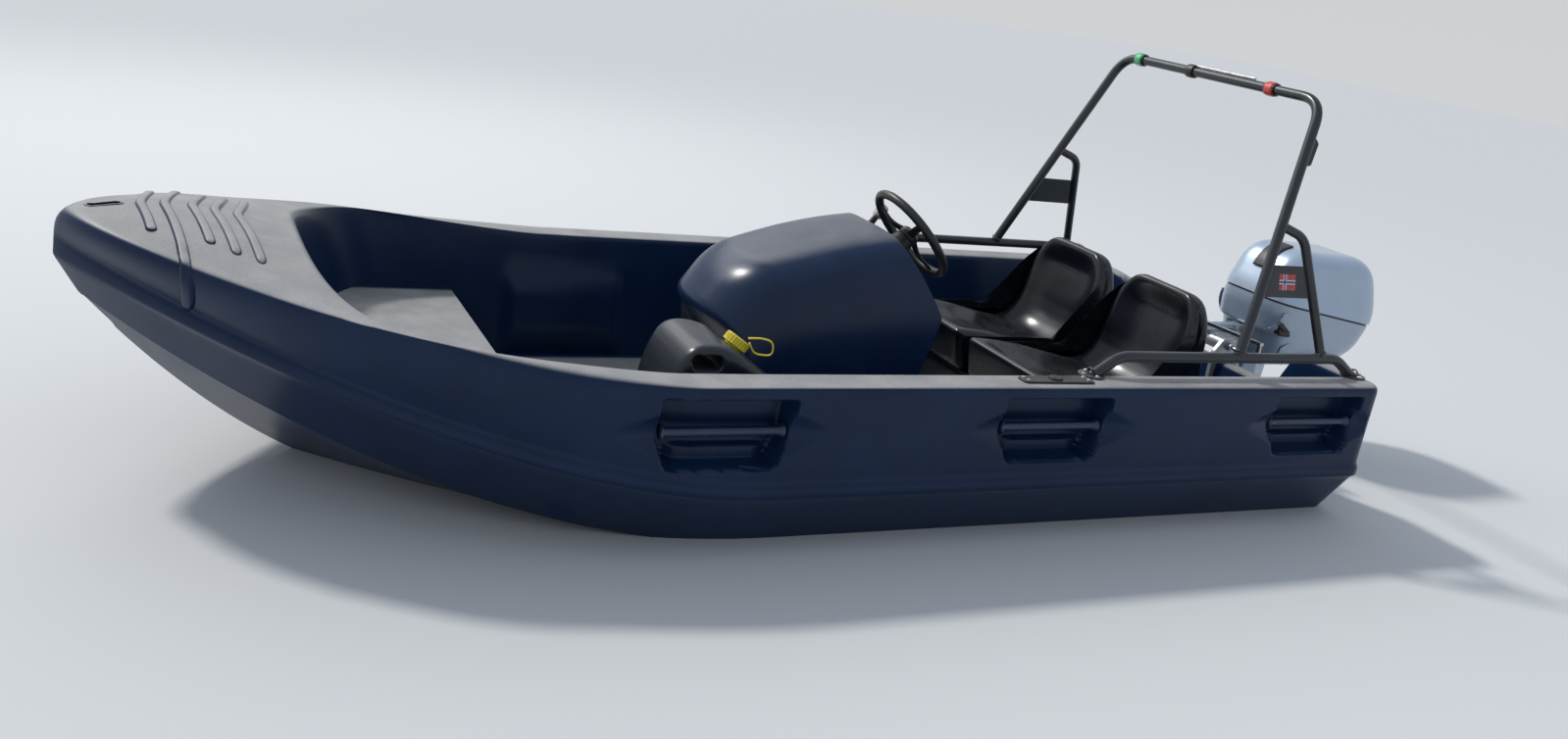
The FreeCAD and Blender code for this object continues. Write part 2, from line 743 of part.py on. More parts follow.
def transom_fittings():
    """Outer pad and the clamp bracket with its tilt tube."""
    pad_thick = 5
    plate = body("transom_plate_body")
    shape = sketch(plate, "transom_plate_outline", "YZ_Plane", stern)
    outline(shape, ((-150, 70, 12), (150, 70, 12), (150, s.transom_height - 12, 12), (-150, s.transom_height - 12, 12)))
    pad(plate, shape, pad_thick, reverse=True)
    node(plate, "transom_plate")

    inner = stern + s.transom_thick
    outer = stern - pad_thick
    top = s.transom_height
    arms = []
    for side, sign in SIDES:
        arm = body(f"clamp_arm_{side}")
        profile = sketch(arm, f"clamp_profile_{side}", "XZ_Plane", -sign * s.clamp_half)
        outline(profile, (
            (inner + 24, top - s.jaw_depth), (inner + 24, top + 30, 25), (-s.tilt_back + 26, s.tilt_height + 26, 20),
            (-s.tilt_back - 26, s.tilt_height + 26, 20), (outer - 38, top + 20, 20), (outer - 38, 60),
            (outer, 60), (outer, top), (inner, top), (inner, top - s.jaw_depth)))
        pad(arm, profile, s.clamp_thick, centred=True)
        arms.append(arm)
    tube = plain("Part::Cylinder", "tilt_tube_round", Radius=s.tilt_tube / 2, Height=2 * s.clamp_half + 50)
    place(tube, -s.tilt_back, -s.clamp_half - 25, s.tilt_height, (1, 0, 0), -90)
    bore = plain("Part::Cylinder", "tilt_tube_bore", Radius=s.ram_size / 2 + s.running_gap, Height=2 * s.clamp_half + 60)
    place(bore, -s.tilt_back, -s.clamp_half - 30, s.tilt_height, (1, 0, 0), -90)
    node(cut("clamp_bored", fuse("clamp_parts", *arms, tube), bore), "clamp_bracket")


def swivel():
    """Swivel bracket: hinge barrel on the tilt tube and the upright steering tube behind it."""
    half = s.clamp_half - s.clamp_thick / 2 - 6
    barrel = plain("Part::Cylinder", "swivel_barrel", Radius=25, Height=2 * half)
    place(barrel, -s.tilt_back, -half, s.tilt_height, (1, 0, 0), -90)
    web = body("swivel_web")
    side = sketch(web, "swivel_web_side", "XZ_Plane")
    outline(side, (
        (-s.tilt_back, s.tilt_height - 22), (-s.tilt_back, s.tilt_height + 24),
        (-s.steer_back, s.tilt_height + 24), (-s.steer_back, s.tilt_height - 60)))
    pad(web, side, 70, centred=True)
    tube_top = s.yoke_height - 2
    tube = plain("Part::Cylinder", "swivel_tube", Radius=28, Height=tube_top - 60)
    place(tube, -s.steer_back, 0, 60)
    bore = plain("Part::Cylinder", "swivel_bore", Radius=s.steer_post / 2 + s.running_gap, Height=500)
    place(bore, -s.steer_back, 0, 0)
    hinge = plain("Part::Cylinder", "hinge_bore", Radius=s.tilt_tube / 2 + s.running_gap, Height=300)
    place(hinge, -s.tilt_back, -150, s.tilt_height, (1, 0, 0), -90)
    node(cut("swivel_bored", fuse("swivel_parts", barrel, web, tube), bore, hinge), "swivel_bracket")


def outboard():
    """Leg with post, yokes and steering arm, gearcase, cowls, powerhead and propeller."""
    post = plain("Part::Cylinder", "steer_post", Radius=s.steer_post / 2, Height=s.yoke_height + s.yoke_thick - 30)
    place(post, -s.steer_back, 0, 30)
    yokes = []
    leg_front = s.steer_back + 43
    for name, low in (("upper", s.yoke_height), ("lower", 58 - s.yoke_thick)):
        yoke = body(f"yoke_{name}")
        plan = sketch(yoke, f"yoke_plan_{name}", "XY_Plane", low)
        outline(plan, ((-leg_front - 60, -28), (-s.steer_back + 24, -24, 20), (-s.steer_back + 24, 24, 20), (-leg_front - 60, 28)))
        pad(yoke, plan, s.yoke_thick)
        yokes.append(yoke)
    arm = body("steering_arm")
    plan = sketch(arm, "steering_arm_plan", "XY_Plane", s.yoke_height)
    tip = -s.steer_back + s.arm_length
    outline(plan, ((-s.steer_back, -16), (tip + 13, -13, 12), (tip + 13, 13, 12), (-s.steer_back, 16)))
    pad(arm, plan, s.yoke_thick)
    leg = body("leg_body")
    drawings = []
    for number, (z, length, width) in enumerate(((-s.plate_depth, 130, 52), (60, 118, 62), (s.pan_bottom + 130, 150, 92))):
        level = sketch(leg, f"leg_section_{number}", "XY_Plane", z)
        w = Size.of(width) / 2
        outline(level, (
            (-leg_front, -w * 0.8, 12), (-leg_front, w * 0.8, 12), (-leg_front - 60, w, 30),
            (-leg_front - length, w * 0.25, 4), (-leg_front - length, -w * 0.25, 4), (-leg_front - 60, -w, 30)))
        drawings.append(level)
    loft(leg, drawings, ruled=True)
    node(fuse("leg_parts", leg, post, arm, *yokes), "engine_leg")

    case = body("gearcase_body")
    shape = sketch(case, "gearcase_profile", "XZ_Plane")
    nose = -leg_front + 10
    tail = nose - 300
    radius = s.gearcase_size / 2
    outline(shape, (
        (nose, 0), (nose - 8, radius * 0.45, 8), (nose - 90, radius, 60), (tail + 60, radius, 60),
        (tail, radius * 0.76), (tail, 0)))
    turned = case.newObject("PartDesign::Revolution", "gearcase_turned")
    turned.Profile = shape
    turned.ReferenceAxis = (shape, ["H_Axis"])
    turned.Angle = 360
    place(case, 0, 0, -s.prop_depth)
    fin = body("fin_body")
    side = sketch(fin, "fin_side", "XZ_Plane")
    outline(side, (
        (-leg_front - 2, -s.plate_depth), (-leg_front - 130, -s.plate_depth), (-leg_front - 190, -s.prop_depth),
        (-leg_front - 215, -s.skeg_depth, 20), (-leg_front - 160, -s.skeg_depth, 20), (-leg_front - 20, -s.prop_depth)))
    pad(fin, side, 20, centred=True)
    plate = body("plate_body")
    plan = sketch(plate, "plate_plan", "XY_Plane", -s.plate_depth - 9)
    outline(plan, (
        (-leg_front + 20, -30, 20), (-leg_front + 20, 30, 20), (-leg_front - 110, 84, 60),
        (-leg_front - 275, 80, 30), (-leg_front - 275, -80, 30), (-leg_front - 110, -84, 60)))
    pad(plate, plan, 9)
    node(fuse("gearcase_parts", case, fin, plate), "gearcase")

    hub = plain("Part::Cylinder", "prop_hub", Radius=s.gearcase_size * 0.38, Height=70)
    place(hub, tail - 70 - s.running_gap, 0, -s.prop_depth, (0, 1, 0), 90)
    blades = []
    for number in range(3):
        blade = body(f"blade_{number}")
        shape = sketch(blade, f"blade_outline_{number}", "XZ_Plane")
        outline(shape, (
            (-14, 20), (14, 20), (44, s.prop_size * 0.3, 30), (20, s.prop_size / 2, 26),
            (-20, s.prop_size / 2, 26), (-44, s.prop_size * 0.3, 30)))
        pad(blade, shape, 5, centred=True)
        blade.Placement = Placement(Vector(0, 0, 0), Rotation(Vector(1, 0, 0), 120 * number) * Rotation(Vector(0, 0, 1), 55))
        bind(blade, **{"Placement.Base.x": tail - 38, "Placement.Base.z": -s.prop_depth})
        blades.append(blade)
    node(fuse("prop_parts", hub, *blades), "propeller")

    whole = cowl_solid("cowl_outside", 0)
    hollow = cowl_solid("cowl_inside", 16)
    split_x = s.cowl_back - s.cowl_front
    slope = atan((s.seam_front - s.seam_back) / split_x)
    above = plain("Part::Box", "above_seam", Length=1400, Width=600, Height=700)
    place(above, -s.cowl_front - 1000, -300, s.seam_front - 1000 * tan(slope), (0, 1, 0), -slope)
    above_low = plain("Part::Box", "below_seam", Length=1400, Width=600, Height=700)
    place(above_low, -s.cowl_front - 1000 + 700 * sin(slope), -300,
          s.seam_front - 1000 * tan(slope) - 700 * cos(slope), (0, 1, 0), -slope)
    node(cut("cowl_upper_cut", common("cowl_upper_half", whole, above), hollow), "cowl_upper")
    lower = common("cowl_lower_half", whole, above_low)
    node(cut("cowl_lower_cut", lower, hollow, NODES[[n.Label for n in NODES].index("engine_leg")]), "cowl_lower")
    block = plain("Part::Box", "powerhead_block", Length=370, Width=184, Height=216)
    place(block, -s.cowl_back + 82, -92, s.pan_bottom + 130)
    node(block, "powerhead")


def cowl_solid(name, inset):
    """The cowls' closed outer form, or the room inside it when inset."""
    solid = body(name)
    front, back = -s.cowl_front - inset, -s.cowl_back + inset
    top, bottom = s.cowl_top - inset, s.pan_bottom + inset
    lip = s.yoke_height + s.yoke_thick + 4 + inset
    leg_top = -s.steer_back - 36 - inset
    drawings = []
    for number, (share, drop, pull) in enumerate(((-1, 90, 60), (-0.75, 24, 16), (0, 0, 0), (0.75, 24, 16), (1, 90, 60))):
        side = sketch(solid, f"{name}_{number}", "XZ_Plane", -share * (s.cowl_width / 2 - inset))
        outline(side, (
            (front - pull, lip), (front - pull - 30, top - drop - 60, 60), (front - pull - 120, top - drop, 80),
            (back + pull + 30, top - drop - 15, 70), (back + pull, s.seam_back + 20, 120),
            (back + pull + 40, bottom + 60, 60), (back + pull + 170, bottom, 40), (leg_top - pull, bottom), (leg_top - pull, lip)))
        drawings.append(side)
    loft(solid, drawings)
    return solid


def steering_gear():
    """Ram that slides in the tilt tube, with the drag link to the steering arm."""
    ram = plain("Part::Cylinder", "ram_rod", Radius=s.ram_size / 2, Height=s.ram_reach + 160)
    place(ram, -s.tilt_back, -160, s.tilt_height, (1, 0, 0), -90)
    node(ram, "steering_ram")
    eye = s.tilt_height + s.ram_size / 2 + 0.3
    tip_x = s.tilt_back - s.steer_back + s.arm_length
    link_z = s.yoke_height + s.yoke_thick + 0.5
    rise = link_z - eye
    post = plain("Part::Cylinder", "link_post", Radius=8, Height=rise + 10)
    place(post, -s.tilt_back, s.ram_reach - 10, eye)
    bar = body("link_bar")
    plan = sketch(bar, "link_plan", "XY_Plane", link_z)
    outline(plan, ((-8, s.ram_reach), (tip_x - 8, -10), (tip_x + 8, -10), (8, s.ram_reach)))
    pad(bar, plan, 10)
    place(bar, -s.tilt_back, 0, 0)
    node(fuse("link_parts", post, bar), "drag_link")


hull()
grab_bars()
arch()
console()
helm()
throttle()
seats()
tank()
rowlocks()
transom_fittings()
swivel()
outboard()
steering_gear()

doc.recompute()
failed = [item.Name for item in doc.Objects if {"Invalid", "Error"} & set(item.State)]
for item in NODES:
    if item.Shape.isNull() or not item.Shape.isValid():
        failed.append(item.Label)
if failed:
    raise RuntimeError(f"these objects failed: {failed}")
os.makedirs("parts", exist_ok=True)
for item in NODES:
    item.Shape.exportStep(f"parts/{item.Label}.step")
print(len(NODES), "sub-parts written")
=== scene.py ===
# %% [markdown]
# # A rib-style moulded motor boat
# The real boat is one hollow moulding of dark polyethylene, with a steering console, two bucket seats, a bent tube
# arch and an outboard motor bolted on. This lesson dresses a finished mechanical model: every fitting keeps the
# place that the model gives it, and Blender adds the soft moulded forms and the finishes.

# %% Start from the mechanical frame
import json
import math
import bmesh
import bpy
import numpy as np
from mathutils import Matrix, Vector
from mathutils.bvhtree import BVHTree


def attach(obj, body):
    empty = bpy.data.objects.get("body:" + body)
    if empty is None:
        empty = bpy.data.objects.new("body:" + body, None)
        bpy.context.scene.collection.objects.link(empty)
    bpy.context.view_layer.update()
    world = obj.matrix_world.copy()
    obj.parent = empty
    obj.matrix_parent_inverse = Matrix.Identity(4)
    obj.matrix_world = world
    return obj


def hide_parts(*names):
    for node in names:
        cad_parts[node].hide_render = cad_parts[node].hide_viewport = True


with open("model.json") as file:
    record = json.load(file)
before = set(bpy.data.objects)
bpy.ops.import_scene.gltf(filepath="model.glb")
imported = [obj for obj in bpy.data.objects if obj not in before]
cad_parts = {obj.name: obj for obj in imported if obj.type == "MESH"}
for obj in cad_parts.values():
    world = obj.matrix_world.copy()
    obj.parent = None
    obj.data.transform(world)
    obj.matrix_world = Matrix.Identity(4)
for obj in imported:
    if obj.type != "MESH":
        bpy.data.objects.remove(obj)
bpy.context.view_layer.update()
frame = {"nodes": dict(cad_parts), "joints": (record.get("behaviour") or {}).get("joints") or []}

nodes = frame["nodes"]

# %% [markdown]
# The camera stands where the photographer stood, a little above the port bow. Its place and turn come from a fit to
# the arch, the rails and both gunwales. The horizon isn't in the picture's middle, so the film is shifted up or down.

# %% Camera
CAMERA_PLACE = (1.665, 3.383, 1.445)
CAMERA_RIGHT = np.array([-0.894, 0.420, 0.158])
CAMERA_AHEAD = np.array([-0.446, -0.869, -0.215])
FOCAL_PIXELS = 1383.5
FRAME_WIDTH, FRAME_HEIGHT = 1599, 754
HORIZON_ROW = 246.1


def aim_camera():
    """Unit vectors right, up and back are the columns of the camera's turn; up is right x ahead."""
    ahead = CAMERA_AHEAD / np.linalg.norm(CAMERA_AHEAD)
    up = np.cross(CAMERA_RIGHT, ahead)
    up /= np.linalg.norm(up)
    right = np.cross(ahead, up)
    lens = bpy.data.cameras.new("camera")
    lens.sensor_width = 36.0
    lens.lens = FOCAL_PIXELS / FRAME_WIDTH * lens.sensor_width
    lens.shift_y = -(FRAME_HEIGHT / 2 - HORIZON_ROW) / FRAME_WIDTH
    camera = bpy.data.objects.new("camera", lens)
    bpy.context.scene.collection.objects.link(camera)
    turn = np.eye(4)
    turn[:3, 0], turn[:3, 1], turn[:3, 2], turn[:3, 3] = right, up, -ahead, CAMERA_PLACE
    camera.matrix_world = turn.T
    bpy.context.scene.camera = camera
    print("lens", round(lens.lens, 2), "mm, shift", round(lens.shift_y, 4))


aim_camera()

# %% [markdown]
# Most pieces here are grids: rows and columns of points worked out by a formula. One helper turns such a grid into
# a mesh, closing it round in either direction, and another measures the result.


# %% Grid helpers
def add_mesh(name, points, faces, smooth=True):
    """Makes an object at the origin from an array of points and a list of faces."""
    mesh = bpy.data.meshes.new(name)
    mesh.from_pydata(np.asarray(points, float).reshape(-1, 3).tolist(), [], [list(map(int, face)) for face in faces])
    mesh.validate()
    mesh.update()
    mesh.polygons.foreach_set("use_smooth", np.full(len(mesh.polygons), smooth))
    piece = bpy.data.objects.new(name, mesh)
    bpy.context.scene.collection.objects.link(piece)
    return piece


def grid_faces(rows, columns, close_rows=False, close_columns=False, first=0):
    """Quads of a grid whose point (i, j) has the number first + i * columns + j."""
    i = np.arange(rows if close_rows else rows - 1)
    j = np.arange(columns if close_columns else columns - 1)
    i, j = np.meshgrid(i, j, indexing="ij")
    next_i, next_j = (i + 1) % rows, (j + 1) % columns
    quads = np.stack([i * columns + j, i * columns + next_j, next_i * columns + next_j, next_i * columns + j], -1)
    return quads.reshape(-1, 4) + first


def clean(piece, distance=1e-5, outward=True):
    """Merges doubled points and turns all faces outwards."""
    work = bmesh.new()
    work.from_mesh(piece.data)
    bmesh.ops.remove_doubles(work, verts=work.verts, dist=distance)
    bmesh.ops.dissolve_degenerate(work, edges=work.edges, dist=distance)
    if outward:
        bmesh.ops.recalc_face_normals(work, faces=work.faces)
    work.to_mesh(piece.data)
    open_edges = sum(1 for edge in work.edges if not edge.is_manifold)
    work.free()
    triangles = sum(len(face.vertices) - 2 for face in piece.data.polygons)
    print(f"{piece.name}: {triangles} triangles, {open_edges} open edges")
    return piece


def merged(name, grids, distance=1e-5, close_columns=False):
    """Several point grids as one cleaned piece; each may be closed round its columns."""
    points, faces, first = [], [], 0
    for grid in grids:
        points.append(grid.reshape(-1, 3))
        faces.append(grid_faces(*grid.shape[:2], close_columns=close_columns, first=first))
        first += len(points[-1])
    return clean(add_mesh(name, np.concatenate(points), np.concatenate(faces)), distance)


def closed_grid(name, points):
    return clean(add_mesh(name, points, grid_faces(*points.shape[:2], close_columns=True)))


def with_ends(grid):
    """The grid with one more row at each end whose points all lie at that end's middle, which closes it."""
    first, last = (row.mean(axis=1, keepdims=True) + 0 * row for row in (grid[:1], grid[-1:]))
    return np.concatenate([first, grid, last])


def smoothstep(value):
    """3u^2 - 2u^3 on u cut to 0..1: a rise from 0 to 1 that starts and ends level."""
    u = np.clip(value, 0, 1)
    return u * u * (3 - 2 * u)


# %% [markdown]
# A rotationally moulded hull is one closed skin: outside, deck, cockpit and transom run into each other with soft
# corners. So it is one grid here. Each column is a cross section given by ten control points, and every corner of
# that section is rounded by a small parabola, which is how a moulding turns a corner.

# %% Hull lines
LENGTH = 3.55
HALF_BEAM = 0.73
STERN, BOW = -LENGTH / 2, LENGTH / 2
GUNWALE_Z, GUNWALE_RISE = 0.435, 0.178
STRAKE_Z = 0.165
CHINE_Y, CHINE_Z = 0.61, -0.02
KEEL_Z = -0.14
SOLE_Z, BENCH_Z = 0.06, 0.27
BENCH_X = 0.72
CHINE_TIP = 1.72
COAMING_HALF, COAMING_TIP = 0.625, 1.25
SOLE_HALF, BENCH_TIP = 0.575, 1.16
CORNER_ROUND = 0.05
TRANSOM_INNER, TRANSOM_FOOT = -1.715, -1.69
TRANSOM_TOP = 0.30
NOTCH_HALF, NOTCH_SLOPE = 0.35, 0.085
CROWN_RISE = 0.052
CROWN_START, CROWN_START_RUN = 0.95, 0.25
CROWN_FADE, CROWN_FADE_RUN = 1.46, 0.31


def narrowing(x, tip, reach, power, blunt):
    """1 far from the tip and 0 at it: (1 - (1 - u)^power)^blunt, with u the share of the reach that is left."""
    u = np.clip((tip - x) / reach, 0, 1)
    return (1 - (1 - u) ** power) ** blunt


def gunwale_half(x):
    return HALF_BEAM * narrowing(x, BOW, 1.33, 1.8, 0.62)


def gunwale_height(x):
    return GUNWALE_Z + GUNWALE_RISE * np.clip((x - 0.45) / 1.325, 0, 1) ** 1.35


def strake_half(x):
    return HALF_BEAM * narrowing(x, BOW, 1.43, 1.9, 0.9)


def strake_height(x):
    return STRAKE_Z + 0.186 * np.clip(x - 0.25, 0, None) ** 1.48


def keel_height(x):
    return KEEL_Z + 0.437 * np.clip(x - 0.62, 0, None) ** 2.24


def chine_half(x):
    return CHINE_Y * narrowing(x, CHINE_TIP, 1.54, 1.9, 0.95)


def chine_height(x):
    top = keel_height(np.array(CHINE_TIP))
    return CHINE_Z + (top - CHINE_Z) * np.clip((x - 0.1) / (CHINE_TIP - 0.1), 0, 1) ** 2.0


def coaming_half(x):
    return COAMING_HALF * narrowing(x, COAMING_TIP, 0.50, 3.7, 0.45)


def crown_lift(x, y):
    """The foredeck's camber: highest on the centreline, nothing at the gunwale, and fading at the nose."""
    half = np.maximum(gunwale_half(x), 1e-3)
    rise = CROWN_RISE * smoothstep((x - CROWN_START) / CROWN_START_RUN)
    rise = rise * (1 - smoothstep((x - CROWN_FADE) / CROWN_FADE_RUN))
    return rise * np.clip(1 - (y / half) ** 2, 0, 1) ** 2


def floor_half(x):
    return SOLE_HALF * narrowing(x, BENCH_TIP, 0.42, 3.7, 0.45)


def floor_height(x):
    return SOLE_Z + (BENCH_Z - SOLE_Z) * smoothstep((x - BENCH_X + 0.012) / 0.024)


# %% [markdown]
# Columns crowd together where the surface turns fast: at the ends of the side recesses and at the riser of the bow
# bench. A density along the curve is added up, and even steps of that sum give the places.

# %% Column places
RECESS_X = (0.362, -0.580, -1.523)
RECESS_HALF = 0.165
COLUMNS = 300
CROSS_COLUMNS = 24


def crowded(count, hot_spots, width, gain):
    """count places in 0..1 whose density is 1 plus a bell of the given gain at each hot spot."""
    fine = np.linspace(0, 1, 4001)
    density = 1 + gain * sum(np.exp(-((fine - spot) / width) ** 2) for spot in hot_spots)
    total = np.concatenate([[0], np.cumsum((density[1:] + density[:-1]) / 2)])
    return np.interp(np.linspace(0, 1, count), total / total[-1], fine)


def along_plan(start, tip, half_of, places):
    """Points (x, y) of a plan curve y = half_of(x) at shares of its length from start to tip."""
    x = tip - (tip - start) * (1 - np.linspace(0, 1, 6001)) ** 2
    y = half_of(x)
    length = np.concatenate([[0], np.cumsum(np.hypot(np.diff(x), np.diff(y)))])
    share = length / length[-1]
    return np.interp(places, share, x), np.interp(places, share, y), length[-1]


side_start = STERN + CORNER_ROUND
edge_length = along_plan(side_start, BOW, gunwale_half, np.array([0.0]))[2]
floor_length = along_plan(TRANSOM_FOOT, BENCH_TIP, floor_half, np.array([0.0]))[2]
recess_ends = [(x + sign * RECESS_HALF - side_start) / edge_length for x in RECESS_X for sign in (-1, 1)]
riser_place = (BENCH_X - TRANSOM_FOOT) / floor_length
places = crowded(COLUMNS, recess_ends + [riser_place], 0.008, 3.0)
print("gunwale edge", round(edge_length, 3), "m in", COLUMNS, "columns")

# %% [markdown]
# The transom closes the stern. Its columns run from the rounded corner to the centreline, and their lower and inner
# ends are the stern ends of the bottom rows and of the floor rows, so the two grids share those points.

# %% Hull section by control points
arc_turns = np.radians([90, 76, 62, 46, 30, 15, 0])
corner_shares = 1 - CORNER_ROUND * (1 - np.sin(arc_turns)) / HALF_BEAM
flat_shares = crowded(CROSS_COLUMNS - len(corner_shares) + 1, [0.38], 0.10, 2.0)
cross_shares = np.concatenate([corner_shares, (corner_shares[-1] * (1 - flat_shares))[1:]])


def corner_x(share):
    """The stern's plan: a quarter circle of CORNER_ROUND at the corner, and flat inside it."""
    reach = np.clip(HALF_BEAM * share - (HALF_BEAM - CORNER_ROUND), 0, CORNER_ROUND)
    return STERN + CORNER_ROUND - np.sqrt(np.clip(CORNER_ROUND ** 2 - reach ** 2, 0, None))


def rounded_section(controls, radii, runs, arc_steps):
    """Rows of points along a chain of control points whose corners are parabolas.

    controls is (corners, columns, 3). Each corner is cut off at its radius along both legs, but leaves the next
    corner its own radius, and is bridged by a quadratic Bezier. runs gives the steps of each straight stretch."""
    rows = [controls[0]]
    leave = controls[0]
    for i in range(1, len(controls)):
        point = controls[i]
        if i < len(controls) - 1:
            before, after = controls[i - 1] - point, controls[i + 1] - point
            before_length = np.linalg.norm(before, axis=-1, keepdims=True) + 1e-9
            after_length = np.linalg.norm(after, axis=-1, keepdims=True) + 1e-9
            room_before = np.maximum(0.46 * before_length, before_length - radii[i - 1] - 0.004)
            room_after = np.maximum(0.46 * after_length, after_length - radii[i + 1] - 0.004)
            enter = point + before / before_length * np.minimum(radii[i], room_before)
            depart = point + after / after_length * np.minimum(radii[i], room_after)
        else:
            enter = depart = point
        for share in runs[i - 1]:
            rows.append(leave + (enter - leave) * share)
        if i < len(controls) - 1:
            for step in range(1, arc_steps[i] + 1):
                t = step / arc_steps[i]
                rows.append((1 - t) ** 2 * enter + 2 * t * (1 - t) * point + t ** 2 * depart)
        leave = depart
    return np.array(rows)


def even(steps):
    return np.arange(1, steps + 1) / steps


def stack(x, y, z):
    return np.stack(np.broadcast_arrays(x, y, z), -1).astype(float)


def side_controls(places):
    """The ten control points of each section, as (10, columns, 3), from the keel round to the cockpit's middle."""
    edge_x, edge_y, _ = along_plan(side_start, BOW, gunwale_half, places)
    share = (edge_x - side_start) / (BOW - side_start)
    low_x = side_start + (CHINE_TIP - side_start) * share
    rise = strake_height(edge_x)
    band = np.clip(strake_half(edge_x) / 0.25, 0, 1)
    bulge = strake_half(edge_x)
    lip_x, lip_y, _ = along_plan(TRANSOM_INNER, COAMING_TIP, coaming_half, places)
    foot_x, foot_y, _ = along_plan(TRANSOM_FOOT, BENCH_TIP, floor_half, places)
    foot_y = foot_y * (1 + 0.045 * (floor_height(foot_x) - SOLE_Z) / (BENCH_Z - SOLE_Z))
    return np.array([
        stack(STERN + (CHINE_TIP - STERN) * share, 0, keel_height(STERN + (CHINE_TIP - STERN) * share)),
        stack(low_x, chine_half(low_x), chine_height(low_x)),
        stack(edge_x, bulge - 0.016 * band, rise - 0.024),
        stack(edge_x, bulge, rise - 0.013),
        stack(edge_x, bulge, rise + 0.011),
        stack(edge_x, bulge - 0.010 * band, rise + 0.022),
        stack(edge_x, edge_y, gunwale_height(edge_x)),
        stack(lip_x, lip_y, gunwale_height(lip_x) + crown_lift(lip_x, lip_y)),
        stack(foot_x, foot_y, floor_height(foot_x)),
        stack(foot_x, 0, floor_height(foot_x)),
    ])


def transom_top(y):
    """The transom's upper edge: a low notch for the motor that slopes up to the gunwale at each side."""
    return TRANSOM_TOP + (GUNWALE_Z - TRANSOM_TOP) * smoothstep((np.abs(y) - NOTCH_HALF) / NOTCH_SLOPE)


def transom_controls(corner, shares):
    """Control points 1 to 8 of the transom's columns: flat outside, a top of its own and a sloping inner face."""
    bottom_z = KEEL_Z + (CHINE_Z - KEEL_Z) * shares
    outer = []
    for i in range(1, 7):
        y = corner[i][1] * shares
        top = transom_top(corner[6][1] * shares)
        lift = (corner[i][2] - CHINE_Z) / (GUNWALE_Z - CHINE_Z)
        outer.append(stack(corner_x(shares), y, bottom_z + (top - bottom_z) * lift))
    inner_y, foot_y = corner[7][1] * shares, corner[8][1] * shares
    outer.append(stack(TRANSOM_INNER, inner_y, transom_top(inner_y)))
    outer.append(stack(TRANSOM_FOOT, foot_y, SOLE_Z))
    return np.array(outer)


# %% [markdown]
# Each side has three recesses for hands, with a pointed flare at both ends where the moulding eases into the flat
# side. Inside the cockpit the same pockets show as shallow bulges, because the wall has an even thickness.

# %% Side recesses
RECESS_DEPTH = 0.070
RECESS_LOW, RECESS_HIGH = 0.232, 0.398
EDGE_SOFT = 0.018
LEDGE_Z, LEDGE_RISE = 0.272, 0.018


def window(value, low, high, soft):
    """1 inside low..high and 0 outside, eased over soft at both ends."""
    return smoothstep((value - low) / soft + 0.5) * smoothstep((high - value) / soft + 0.5)


def recess_depth(x, z):
    """How far the side is pushed in: flat-floored pockets, and a lens that tapers to a point at each end."""
    depth = np.zeros_like(x)
    for centre in RECESS_X:
        away = np.abs(x - centre)
        slant = 0.03 * np.clip((0.30 - z) / 0.07, 0, 1)
        pocket = RECESS_DEPTH * window(away, -1, RECESS_HALF - slant, EDGE_SOFT) * window(
            z, RECESS_LOW, RECESS_HIGH, EDGE_SOFT)
        step = -LEDGE_RISE * window(away, -1, RECESS_HALF - 0.05, 0.02) * window(z, RECESS_LOW - 0.02, LEDGE_Z, 0.012)
        taper = np.clip(1 - (away - RECESS_HALF + 0.02) / 0.115, 0, 1)
        tall = 0.012 + 0.050 * taper
        lens = 0.030 * taper * np.clip(1 - (np.abs(z - 0.318) / tall) ** 2, 0, 1)
        depth = np.maximum(depth, np.maximum(pocket + step * (pocket > 0.02), lens))
    return depth


def inner_bulge(x, z):
    """How far the cockpit wall stands in over each recess."""
    bulge = np.zeros_like(x)
    for centre in RECESS_X:
        bulge += 0.028 * window(np.abs(x - centre), -1, RECESS_HALF + 0.02, 0.05) * window(z, 0.10, 0.31, 0.05)
    return bulge


# %% Hull skin
RADII = (0, 0.05, 0.010, 0.006, 0.006, 0.010, 0, 0.020, 0.055, 0)
SIDE_BOTTOM, SIDE_TOP = STRAKE_Z + 0.022, GUNWALE_Z - 0.024
pocket_edges = [(z - SIDE_BOTTOM) / (SIDE_TOP - SIDE_BOTTOM) for z in (RECESS_LOW, LEDGE_Z, RECESS_HIGH)]
RUNS = (None, even(10), even(1), even(2), even(1), crowded(57, pocket_edges, 0.05, 2.5)[1:], even(9), even(10), None)
ARCS = (0, 0, 2, 2, 2, 2, 8, 6, 0, 0)


